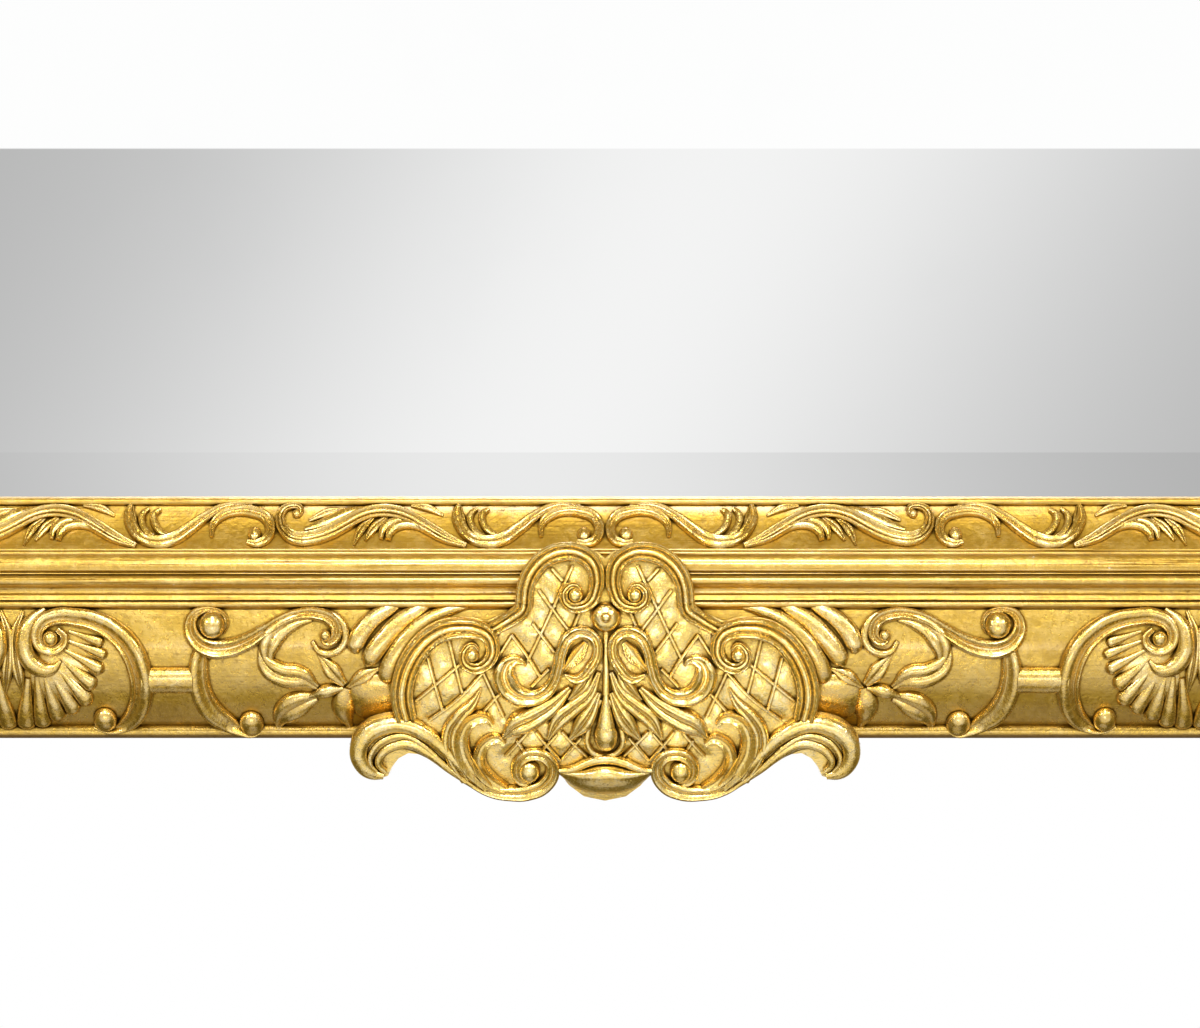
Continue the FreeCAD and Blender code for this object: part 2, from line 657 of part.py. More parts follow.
def cartouche(plan, crown, beds):
    """One carved cartouche: a crowned ground with raised ribs, scribed over the beds it lies on."""
    ground = outline_prism(plan, OUTLINE_SHARES).common(crown(0))
    prisms = [outline_prism(plan, [LENS_SHARES]), outline_prism(plan, [DROP_SHARES])]
    prisms.append(disc_prism(plan, 0, BEAD_SHARE, BEAD_RADIUS))
    ribs = [PAIRED_SCROLL_SHARES, SHOULDER_SHARES, C_SCROLL_SHARES, FOOT_SCROLL_SHARES, TENDRIL_SHARES]
    for sign in (-1, 1):
        for shares in ribs + LEAF_SHARES:
            prisms.append(ribbon_prism(plan, sign, shares))
        for share_x, share_z in EYE_SHARES:
            prisms.append(disc_prism(plan, sign * share_x, share_z, EYE_RADIUS))
    raised = crown(RIB_RISE)
    carved = ground
    for prism in prisms:
        carved = carved.fuse(prism.common(raised))
    for bed in beds:
        carved = carved.cut(bed)
    return max(carved.Solids, key=lambda solid: solid.Volume)


def cartouches():
    """The same cartouche on the middle of each side and, bent, at each corner."""
    length = (CARTOUCHE_HALF + CUT_OVERRUN) * 2
    sections = (sight_section(), reeded_section(), outer_section_below_back_frame())
    beds = [long_rail(points, length) for points in sections]
    back = box(-length / 2, length / 2, BACK_DEPTH, 0, -BACK_FRAME_EDGE, 0)
    middle = cartouche(straight, straight_crown, beds + [back])
    corner_beds = []
    reach = RAIL_WIDTH * 2
    for points in sections:
        rail = mitred_rail(points, reach * 2)
        rail.translate(Vector(-reach, 0, 0))
        corner_beds.append(rail)
        corner_beds.append(turned(rail, -90, Vector(reach * 2, 0, 0)))
    edge = BACK_FRAME_EDGE
    corner_beds.append(box(-reach, edge, BACK_DEPTH, 0, -edge, reach))
    corner = cartouche(bent, corner_crown, corner_beds)
    made = {f"{side}_cartouche": on_side(middle, side) for side in SIDES}
    made.update({f"{name}_corner_cartouche": at_corner(corner, name) for name in CORNERS})
    return made


def drilled(nodes, holes):
    """Every node with the holes that meet it cut away."""
    for name, shape in nodes.items():
        near = [hole for hole in holes if hole.BoundBox.intersect(shape.BoundBox)]
        if near:
            nodes[name] = shape.cut(Part.makeCompound(near)).removeSplitter()


def main():
    """Builds every node, drills the holes and writes one file per node."""
    nodes = {**back_frame(), **mouldings(), **cartouches()}
    nodes.update(packing_slips())
    for name, board in zip(("right", "centre", "left"), reversed(backboards())):
        nodes[f"backboard_{name}"] = board
    strap, ring = hanger_strap(), hanging_ring()
    across = Vector(1, 0, 0)
    nodes["hanger_strap_right"] = strap
    nodes["hanger_strap_left"] = strap.mirror(CENTRE, across)
    groups, holes = {}, packing_pins(KNUCKLE_CLEARANCE)
    for name, (head_depth, length, places) in screw_places().items():
        groups[name] = Part.makeCompound([screw(x, z, head_depth, length) for x, z in places])
        holes += [screw(x, z, head_depth, length, SCREW_CLEARANCE) for x, z in places]
    drilled(nodes, holes)
    nodes.update(groups)
    nodes["packing_pins"] = Part.makeCompound(packing_pins())
    nodes["setting_blocks"] = setting_blocks()
    nodes["mirror_glass"] = mirror_glass()
    nodes["hanging_ring_right"] = ring
    nodes["hanging_ring_left"] = ring.mirror(CENTRE, across)
    os.makedirs("parts", exist_ok=True)
    for name, shape in sorted(nodes.items()):
        shape.exportStep(f"parts/{name}.step")
        print(name, "solids", len(shape.Solids), "valid", shape.isValid(), "volume", round(shape.Volume))


main()
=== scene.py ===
"""Carved gilt wall mirror: its carving, finishes, light and camera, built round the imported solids."""

import logging
import math
from dataclasses import dataclass, field, replace
from enum import Enum
from typing import Callable, Iterable, Sequence

import bpy
import numpy as np
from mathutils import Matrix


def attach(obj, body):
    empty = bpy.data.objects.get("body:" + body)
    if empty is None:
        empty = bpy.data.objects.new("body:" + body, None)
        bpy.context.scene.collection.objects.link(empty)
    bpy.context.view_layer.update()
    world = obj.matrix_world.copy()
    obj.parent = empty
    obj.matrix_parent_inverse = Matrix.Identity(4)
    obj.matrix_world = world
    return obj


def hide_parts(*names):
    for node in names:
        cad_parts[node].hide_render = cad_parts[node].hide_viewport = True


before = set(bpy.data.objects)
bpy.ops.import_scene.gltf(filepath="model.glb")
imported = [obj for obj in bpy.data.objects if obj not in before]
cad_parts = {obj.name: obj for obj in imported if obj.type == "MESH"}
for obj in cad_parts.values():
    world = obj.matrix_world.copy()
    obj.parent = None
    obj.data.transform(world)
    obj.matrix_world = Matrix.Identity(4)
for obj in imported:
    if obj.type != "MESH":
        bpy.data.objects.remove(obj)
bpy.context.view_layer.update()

LOG = logging.getLogger("gilt_mirror")
PIXEL = 0.00052
AXIS_X = 605.0
SIGHT_Y = 498.0
BODY = "mirror"
DOUBLES = 2e-6
OUTLINE_DOUBLES = 1e-6
Point = tuple[float, float]
Span = tuple[float, float]
Triple = tuple[float, float, float]
Trace = Sequence[Point]


class Section(Enum):
    """Cross-sections of a carved stroke for a half width of one: across, then up from the ground."""

    BAND = ((-1, -20), (-1, 0.28), (-0.92, 0.5), (-0.76, 0.6), (-0.6, 0.52), (-0.46, 0.18), (-0.34, 0.14),
            (-0.18, 0.4), (0, 0.48), (0.18, 0.4), (0.34, 0.14), (0.46, 0.18), (0.6, 0.52), (0.76, 0.6),
            (0.92, 0.5), (1, 0.28), (1, -20))
    RIDGE = ((-1, -20), (-1, 0.2), (-0.88, 0.48), (-0.62, 0.62), (-0.32, 0.5), (-0.08, 0.2), (0.08, 0.2),
            (0.32, 0.5), (0.62, 0.62), (0.88, 0.48), (1, 0.2), (1, -20))
    ROUND = ((-1, -20), (-1, 0.08), (-0.88, 0.46), (-0.6, 0.74), (-0.25, 0.88), (0.25, 0.88), (0.6, 0.74),
            (0.88, 0.46), (1, 0.08), (1, -20))
    LEAF = ((-1, -20), (-1, 0.1), (-0.82, 0.42), (-0.5, 0.64), (-0.22, 0.58), (-0.06, 0.3), (0.06, 0.3),
            (0.22, 0.58), (0.5, 0.64), (0.82, 0.42), (1, 0.1), (1, -20))
    PETAL = ((-1, -20), (-1, 0.12), (-0.84, 0.4), (-0.5, 0.52), (-0.15, 0.44), (0, 0.34), (0.15, 0.44),
            (0.5, 0.52), (0.84, 0.4), (1, 0.12), (1, -20))
    SCOOP = ((-1, -20), (-1, 0.4), (-0.86, 0.62), (-0.66, 0.5), (-0.3, 0.1), (0, 0.0), (0.3, 0.1),
            (0.66, 0.5), (0.86, 0.62), (1, 0.4), (1, -20))
    LOBE = ((-1, -20), (-1, 0.04), (-0.85, 0.32), (-0.5, 0.52), (0, 0.58), (0.5, 0.52), (0.85, 0.32),
            (1, 0.04), (1, -20))
    STRAP = ((-1, -20), (-1, 0.1), (-0.88, 0.46), (-0.6, 0.68), (-0.25, 0.66), (0.08, 0.44), (0.3, 0.16),
            (0.48, 0.14), (0.62, 0.36), (0.78, 0.42), (0.92, 0.3), (1, 0.04), (1, -20))
    RIB = ((-1, -20), (-1, 0.7), (-0.6, 1.15), (0, 0.95), (0.6, 1.15), (1, 0.7), (1, -20))
    BOWL = ((-1, -20), (-1, 0.3), (-0.9, 0.54), (-0.74, 0.66), (-0.5, 0.64), (-0.2, 0.52), (0.1, 0.34),
            (0.4, 0.08), (0.66, -0.22), (0.88, -0.56), (1, -0.86), (1, -20))


class Side(Enum):
    """The four rails: turn about Y from the bottom, and whether the rail is a long one."""

    BOTTOM = (0.0, True)
    RIGHT = (-90.0, False)
    TOP = (180.0, True)
    LEFT = (90.0, False)

    @property
    def turn(self) -> float:
        """Degrees about Y from the bottom rail."""
        return self.value[0]

    @property
    def is_long(self) -> bool:
        """Whether this is the top or the bottom rail."""
        return self.value[1]


class Corner(Enum):
    """The four corners: turn about Y from the bottom right, and the signs of X and Z."""

    BOTTOM_RIGHT = (0.0, 1, -1)
    TOP_RIGHT = (-90.0, 1, 1)
    TOP_LEFT = (180.0, -1, 1)
    BOTTOM_LEFT = (90.0, -1, -1)


@dataclass(frozen=True)
class Stroke:
    """One cut of the carver: a centre line with half widths along it, both traced in pixels."""

    section: Section
    path: Trace
    widths: Sequence[float]
    lift: float = 0.0
    paired: bool = True


@dataclass(frozen=True)
class Boss:
    """A carved ball or drop: centre, half sizes across and down, and its rise, in pixels."""

    centre: Point
    half: Point
    rise: float
    lift: float = 0.0
    paired: bool = True


def flat(point: Point) -> Point:
    """Plan place in metres, from the rail's middle and down from the sight edge."""
    return (point[0] - AXIS_X) * PIXEL, -(point[1] - SIGHT_Y) * PIXEL


def deselect() -> None:
    """Leaves nothing selected and no object in edit mode."""
    if bpy.context.object is not None and bpy.context.object.mode != "OBJECT":
        bpy.ops.object.mode_set(mode="OBJECT")
    bpy.ops.object.select_all(action="DESELECT")


def make_active(thing: bpy.types.Object) -> None:
    """Selects one object alone and makes it active.

    Args:
        thing: The object.
    """
    deselect()
    thing.select_set(True)
    bpy.context.view_layer.objects.active = thing


def joined(things: Sequence[bpy.types.Object], name: str) -> bpy.types.Object:
    """Joins meshes into one.

    Args:
        things: The meshes.
        name: Name of the joined object.

    Returns:
        The joined object.
    """
    make_active(things[0])
    for thing in things:
        thing.select_set(True)
    bpy.ops.object.join()
    bpy.context.object.name = name
    bpy.context.object.data.name = name
    return bpy.context.object


def tidy_mesh(thing: bpy.types.Object, smooth_deg: float = 50.0) -> None:
    """Merges doubles, turns faces outward and smooths by angle.

    Args:
        thing: A mesh of closed islands.
        smooth_deg: Edges sharper than this stay sharp.
    """
    make_active(thing)
    bpy.ops.object.mode_set(mode="EDIT")
    bpy.ops.mesh.select_all(action="SELECT")
    bpy.ops.mesh.remove_doubles(threshold=DOUBLES)
    bpy.ops.mesh.normals_make_consistent(inside=False)
    bpy.ops.object.mode_set(mode="OBJECT")
    bpy.ops.object.shade_smooth_by_angle(angle=math.radians(smooth_deg))


def coordinates(thing: bpy.types.Object) -> np.ndarray:
    """Reads the vertices of a mesh.

    Args:
        thing: The mesh.

    Returns:
        One row of X, Y and Z for each vertex.
    """
    values = np.empty(len(thing.data.vertices) * 3)
    thing.data.vertices.foreach_get("co", values)
    return values.reshape(-1, 3)


def place_vertices(thing: bpy.types.Object, values: np.ndarray) -> None:
    """Moves the vertices of a mesh to the rows given."""
    thing.data.vertices.foreach_set("co", np.ascontiguousarray(values, dtype=np.float32).ravel())
    thing.data.update()


def copy_of(thing: bpy.types.Object, name: str) -> bpy.types.Object:
    """Copies a piece, with a mesh of its own.

    Args:
        thing: The piece.
        name: Name of the copy.

    Returns:
        The copy.
    """
    made = thing.copy()
    made.data = thing.data.copy()
    made.name = made.data.name = name
    bpy.context.scene.collection.objects.link(made)
    return made


def empty_curve(dimensions: str) -> bpy.types.Object:
    """Adds a curve and takes out its own spline.

    Args:
        dimensions: "2D" or "3D".

    Returns:
        The curve object, active.
    """
    deselect()
    bpy.ops.curve.primitive_bezier_curve_add()
    made = bpy.context.object
    made.data.splines.clear()
    made.data.dimensions = dimensions
    return made


def closed_line(curve: bpy.types.Curve, places: Sequence[Point]) -> None:
    """Draws a closed line of straight parts in a curve.

    Args:
        curve: The curve.
        places: Its corners.
    """
    spline = curve.splines.new("POLY")
    spline.points.add(len(places) - 1)
    for point, place in zip(spline.points, places):
        point.co = (*place, 0, 1)
    spline.use_cyclic_u = True


@dataclass
class Carver:
    """Cuts strokes and bosses on a flat sheet: plan in X and Y, height in Z."""

    steps: int = 6
    foot: float = 6.0
    profiles: dict[Section, bpy.types.Object] = field(default_factory=dict)

    def profile(self, section: Section) -> bpy.types.Object:
        """The closed cross-section that a stroke is swept with.

        Args:
            section: Which cross-section.

        Returns:
            A curve object, made once.
        """
        if section not in self.profiles:
            made = empty_curve("2D")
            made.name = f"profile_{section.name.lower()}"
            made.data.fill_mode = "NONE"
            closed_line(made.data, [(across * PIXEL, up * PIXEL) for across, up in section.value])
            self.profiles[section] = made
        return self.profiles[section]

    def sweep(self, strokes: Sequence[Stroke], section: Section) -> bpy.types.Object:
        """Sweeps one cross-section along every stroke that has it.

        Args:
            strokes: The strokes, all of that section.
            section: Their cross-section.

        Returns:
            A mesh of closed islands.
        """
        profile = self.profile(section)
        made = empty_curve("3D")
        curve = made.data
        curve.twist_mode, curve.resolution_u = "Z_UP", self.steps
        curve.bevel_mode, curve.bevel_object, curve.use_fill_caps = "OBJECT", profile, True
        for stroke in strokes:
            spline = curve.splines.new("BEZIER")
            spline.radius_interpolation = "CARDINAL"
            spline.bezier_points.add(len(stroke.path) - 1)
            shares = np.linspace(0, 1, len(stroke.widths))
            radii = np.interp(np.linspace(0, 1, len(stroke.path)), shares, stroke.widths)
            for knot, place, radius in zip(spline.bezier_points, stroke.path, radii):
                knot.co = (*flat(place), stroke.lift * PIXEL)
                knot.radius = float(radius)
            for knot in spline.bezier_points:
                knot.handle_left_type = knot.handle_right_type = "AUTO"
        make_active(made)
        bpy.ops.object.convert(target="MESH")
        return bpy.context.object

    def boss(self, boss: Boss, segments: int = 20, rings: int = 12) -> bpy.types.Object:
        """A ball squashed to the boss's size.

        Args:
            boss: Its place and size.
            segments: Faces round it.
            rings: Faces from pole to pole.

        Returns:
            A closed mesh.
        """
        deselect()
        bpy.ops.mesh.primitive_uv_sphere_add(segments=segments, ring_count=rings, radius=1.0)
        made = bpy.context.object
        across, down = boss.half
        bpy.ops.object.mode_set(mode="EDIT")
        bpy.ops.transform.resize(value=(across * PIXEL, down * PIXEL, boss.rise * PIXEL))
        bpy.ops.transform.translate(value=(*flat(boss.centre), boss.lift * PIXEL))
        bpy.ops.object.mode_set(mode="OBJECT")
        return made

    def carve(self, strokes: Sequence[Stroke], bosses: Sequence[Boss], name: str) -> bpy.types.Object:
        """All strokes and bosses as one mesh.

        Args:
            strokes: The strokes.
            bosses: The bosses.
            name: Name of the mesh.

        Returns:
            The mesh, still flat.
        """
        made = []
        for section in Section:
            chosen = [stroke for stroke in strokes if stroke.section is section]
            if chosen:
                made.append(self.sweep(chosen, section))
        made += [self.boss(boss) for boss in bosses]
        whole = joined(made, name)
        values = coordinates(whole)
        values[:, 2] = np.maximum(values[:, 2], -self.foot * PIXEL)
        place_vertices(whole, values)
        return whole

    def clear(self) -> None:
        """Removes the cross-sections."""
        for made in self.profiles.values():
            bpy.data.objects.remove(made)
        self.profiles.clear()


def mirrored_strokes(strokes: Iterable[Stroke], axis: float = AXIS_X) -> list[Stroke]:
    """Adds the reflections of the paired strokes.

    Args:
        strokes: The strokes.
        axis: The upright axis they are reflected about.

    Returns:
        Each stroke, followed by its reflection if it is paired.
    """
    made = []
    for stroke in strokes:
        made.append(stroke)
        if stroke.paired:
            path = [(2 * axis - x, y) for x, y in reversed(stroke.path)]
            made.append(Stroke(stroke.section, path, stroke.widths[::-1], stroke.lift))
    return made


def mirrored_bosses(bosses: Iterable[Boss], axis: float = AXIS_X) -> list[Boss]:
    """Adds the reflections of the paired bosses.

    Args:
        bosses: The bosses.
        axis: The upright axis they are reflected about.

    Returns:
        Each boss, followed by its reflection if it is paired.
    """
    made = []
    for boss in bosses:
        made.append(boss)
        if boss.paired:
            x, y = boss.centre
            made.append(replace(boss, centre=(2 * axis - x, y)))
    return made


@dataclass(frozen=True)
class RailSection:
    """The rail's section in metres: v outward from the sight edge, depth forward from the wall."""

    sight_half_x: float = 0.470
    sight_half_z: float = 0.308
    frieze_inner: Point = (0.004, 0.0265)
    frieze_outer: Point = (0.026, 0.042)
    frieze_hollow: float = -0.0015
    swell_inner: Point = (0.058, 0.0435)
    swell_outer: Point = (0.119, 0.0226)
    swell_bulge: float = 0.008
    fillet_ease: float = 0.010
    fillet_share: float = 0.7
    fillet_lean: float = -0.35
    crown_inner: Point = (0.0, 0.052)
    crown_outer: Point = (0.170, 0.018)
    crown_bulge: float = 0.015
    arc_share: float = 0.98

    def arc(self, start: Point, end: Point, bulge: float, v: np.ndarray) -> tuple[np.ndarray, np.ndarray]:
        """Depth and slope of an arc across the rail.

        Args:
            start: Where the arc starts, as v and depth.
            end: Where it ends.
            bulge: How far it swells over its chord, forward if positive.
            v: Where to read it.

        Returns:
            Depth and slope at each v.
        """
        run, rise = end[0] - start[0], end[1] - start[1]
        chord = math.hypot(run, rise)
        radius = (chord * chord / 4 + bulge * bulge) / (2 * bulge)
        middle = ((start[0] + end[0]) / 2, (start[1] + end[1]) / 2)
        offset = bulge - radius
        centre = (middle[0] - rise / chord * offset, middle[1] + run / chord * offset)
        widest = abs(radius) * self.arc_share
        reach = np.clip(v - centre[0], -widest, widest)
        height = np.sqrt(radius * radius - reach * reach) * math.copysign(1, radius)
        return centre[1] + height, -reach / height

    def frieze(self, v: np.ndarray) -> tuple[np.ndarray, np.ndarray]:
        """Depth and slope of the hollow frieze."""
        return self.arc(self.frieze_inner, self.frieze_outer, self.frieze_hollow, v)

    def swell(self, v: np.ndarray) -> tuple[np.ndarray, np.ndarray]:
        """Depth and slope of the outer swell, which levels out at the back fillet.

        Args:
            v: Where to read it.

        Returns:
            Depth and slope at each v.
        """
        depth, slope = self.arc(self.swell_inner, self.swell_outer, self.swell_bulge, v)
        level = np.clip((v - self.swell_outer[0]) / self.fillet_ease + self.fillet_share, 0, 1)
        return np.maximum(depth, self.swell_outer[1]), slope * (1 - level) + self.fillet_lean * level

    def crown(self, v: np.ndarray) -> tuple[np.ndarray, np.ndarray]:
        """Depth and slope of a cartouche's crown."""
        return self.arc(self.crown_inner, self.crown_outer, self.crown_bulge, v)

    def half_along(self, side: Side) -> float:
        """Half of the sight along a side."""
        return self.sight_half_x if side.is_long else self.sight_half_z

    def half_across(self, side: Side) -> float:
        """From the mirror's middle to the sight edge of a side."""
        return self.sight_half_z if side.is_long else self.sight_half_x


RAIL = RailSection()
Surface = Callable[[np.ndarray], tuple[np.ndarray, np.ndarray]]


def laid(values: np.ndarray, surface: Surface) -> np.ndarray:
    """Lays flat carving on a surface: height goes along the surface's normal.

    Args:
        values: Rows of plan x, plan y (minus v) and height.
        surface: Depth and slope at each v.

    Returns:
        Rows of along, v and depth.
    """
    v, height = -values[:, 1], values[:, 2]
    depth, slope = surface(v)
    length = np.sqrt(1 + slope * slope)
    return np.stack([values[:, 0], v - height * slope / length, depth + height / length], axis=1)


def turned(values: np.ndarray, degrees: float) -> np.ndarray:
    """Turns rows about the Y axis.

    Args:
        values: Rows of X, Y and Z.
        degrees: How far.

    Returns:
        The turned rows.
    """
    angle = math.radians(degrees)
    x = values[:, 0] * math.cos(angle) + values[:, 2] * math.sin(angle)
    z = -values[:, 0] * math.sin(angle) + values[:, 2] * math.cos(angle)
    return np.stack([x, values[:, 1], z], axis=1)


def on_side(values: np.ndarray, side: Side) -> np.ndarray:
    """Rows of along, v and depth put on one side of the frame."""
    local = np.stack([values[:, 0], -values[:, 2], -values[:, 1] - RAIL.half_across(side)], axis=1)
    return turned(local, side.turn)


@dataclass(frozen=True)
class CornerBend:
    """Carries a straight cartouche round a corner, as the solids do."""

    inset: float = 0.030
    half: float = 0.100
    reach: float = 0.35

    def placed(self, values: np.ndarray, corner: Corner) -> np.ndarray:
        """Rows of along, v and depth put round one corner.

        Args:
            values: The rows.
            corner: Which corner.

        Returns:
            Rows in the mirror's own frame.
        """
        along, v, depth = values.T
        angle = math.pi / 4 * np.clip(along / self.half, -1, 1)
        beyond = np.maximum(np.abs(along) - self.half, 0) * np.sign(along)
        radius = self.inset + v * (1 + self.reach * np.cos(2 * angle) ** 2)
        heading = angle - math.pi / 4
        x = radius * np.cos(heading) - self.inset + np.minimum(beyond, 0)
        z = radius * np.sin(heading) + self.inset + np.maximum(beyond, 0)
        turn, sign_x, sign_z = corner.value
        local = turned(np.stack([x, -depth, z], axis=1), turn)
        return local + np.array([sign_x * RAIL.sight_half_x, 0, sign_z * RAIL.sight_half_z])


class Socket:
    """A node's output that takes part in Python expressions; an output node has none."""

    def __init__(self, nodes: "Nodes", socket: bpy.types.NodeSocket | None) -> None:
        """Keeps the socket and the nodes it belongs to."""
        self.nodes, self.socket = nodes, socket

    def math(self, operation: str, *values: "Socket | float") -> "Socket":
        """A Math node on this value and others."""
        inputs = {index: value for index, value in enumerate((self, *values))}
        return self.nodes.add("ShaderNodeMath", {"operation": operation}, inputs)

    def __add__(self, other: "Socket | float") -> "Socket":
        """Sum."""
        return self.math("ADD", other)

    __radd__ = __add__

    def __sub__(self, other: "Socket | float") -> "Socket":
        """Difference."""
        return self.math("SUBTRACT", other)

    def __rsub__(self, other: float) -> "Socket":
        """Difference from a number."""
        return self.nodes.add("ShaderNodeMath", {"operation": "SUBTRACT"}, {0: other, 1: self})

    def __neg__(self) -> "Socket":
        """The opposite value."""
        return 0.0 - self

    def __mul__(self, other: "Socket | float") -> "Socket":
        """Product."""
        return self.math("MULTIPLY", other)

    __rmul__ = __mul__

    def __truediv__(self, other: "Socket | float") -> "Socket":
        """Quotient."""
        return self.math("DIVIDE", other)

    def __pow__(self, other: "Socket | float") -> "Socket":
        """Power."""
        return self.math("POWER", other)

    def most(self, other: "Socket | float") -> "Socket":
        """The greater of two values."""
        return self.math("MAXIMUM", other)

    def clamped(self) -> "Socket":
        """The value kept between 0 and 1."""
        return self.nodes.add("ShaderNodeClamp", {}, {0: self})

    def between(self, low: float, high: float) -> "Socket":
        """0 below low, 1 above high and smooth between."""
        settings = {"interpolation_type": "SMOOTHSTEP"}
        return self.nodes.add("ShaderNodeMapRange", settings, {0: self, 1: low, 2: high})

    def toward(self, other: "Socket | float", share: "Socket") -> "Socket":
        """This value, going over to another by a share."""
        return self * (1 - share) + share * other


class Nodes:
    """Builds the node tree of a material or world."""

    def __init__(self, tree: bpy.types.NodeTree) -> None:
        """Starts from an empty tree."""
        self.tree = tree
        tree.nodes.clear()

    def add(self, kind: str, settings: dict, inputs: dict, output: int | str = 0) -> Socket:
        """Adds a node, sets it up and links it.

        Args:
            kind: The node's type.
            settings: Its own settings, by name.
            inputs: Values or sockets by input name or number.
            output: Which output to give back.

        Returns:
            That output.
        """
        node = self.tree.nodes.new(kind)
        for name, value in settings.items():
            setattr(node, name, value)
        for name, value in inputs.items():
            if isinstance(value, Socket):
                self.tree.links.new(value.socket, node.inputs[name])
            else:
                node.inputs[name].default_value = value
        return Socket(self, node.outputs[output] if node.outputs else None)

    def blend(self, factor: Socket | float, low: Socket | Triple, high: Socket | Triple) -> Socket:
        """Mixes two colours.

        Args:
            factor: Share of the second colour.
            low: First colour.
            high: Second colour.

        Returns:
            The mixed colour.
        """
        low = low if isinstance(low, Socket) else (*low, 1)
        high = high if isinstance(high, Socket) else (*high, 1)
        return self.add("ShaderNodeMix", {"data_type": "RGBA"}, {0: factor, 6: low, 7: high}, 2)

    def noise(self, where: Socket, scale: float, detail: float = 3.0, roughness: float = 0.55) -> Socket:
        """Noise over coordinates."""
        inputs = {"Vector": where, "Scale": scale, "Detail": detail, "Roughness": roughness}
        return self.add("ShaderNodeTexNoise", {}, inputs)

    def place(self, scale: Triple = (1, 1, 1), shift: Triple = (0, 0, 0)) -> Socket:
        """Object coordinates, stretched and shifted."""
        where = self.add("ShaderNodeTexCoord", {}, {}, "Object")
        return self.add("ShaderNodeMapping", {}, {"Vector": where, "Scale": scale, "Location": shift})

    def part(self, vector: Socket, axis: int) -> Socket:
        """One part of a vector."""
        return self.add("ShaderNodeSeparateXYZ", {}, {0: vector}, axis)

    def along(self, axis: int) -> Socket:
        """One Object coordinate."""
        return self.part(self.add("ShaderNodeTexCoord", {}, {}, "Object"), axis)

    def normal(self, axis: int) -> Socket:
        """One part of the surface's normal."""
        return self.part(self.add("ShaderNodeNewGeometry", {}, {}, "Normal"), axis)

    def bump(self, height: Socket, distance: float, strength: float = 1.0) -> Socket:
        """A normal bumped by a height."""
        return self.add("ShaderNodeBump", {}, {"Height": height, "Distance": distance, "Strength": strength})

    def surface(self, **inputs: Socket | float) -> None:
        """Links a Principled surface to the material's output.

        Args:
            inputs: Its sockets, named with underscores.
        """
        named = {name.replace("_", " "): value for name, value in inputs.items()}
        shader = self.add("ShaderNodeBsdfPrincipled", {}, named)
        self.add("ShaderNodeOutputMaterial", {}, {"Surface": shader})


def new_material(name: str) -> tuple[bpy.types.Material, Nodes]:
    """Starts a node material.

    Args:
        name: Its name.

    Returns:
        The material and the builder of its nodes.
    """
    made = bpy.data.materials.new(name)
    made.use_nodes = True
    return made, Nodes(made.node_tree)


@dataclass(frozen=True)
class WearAndShade:
    """Masks over a gilded surface: painted shade in hollows and creases, and what is worn, dirty, soiled,
    chipped or at the back.
    """

    hollow: Socket
    dark: Socket
    worn: Socket
    dirt: Socket
    soil: Socket
    chip: Socket
    behind: Socket
    mottle: Socket
    height: Socket


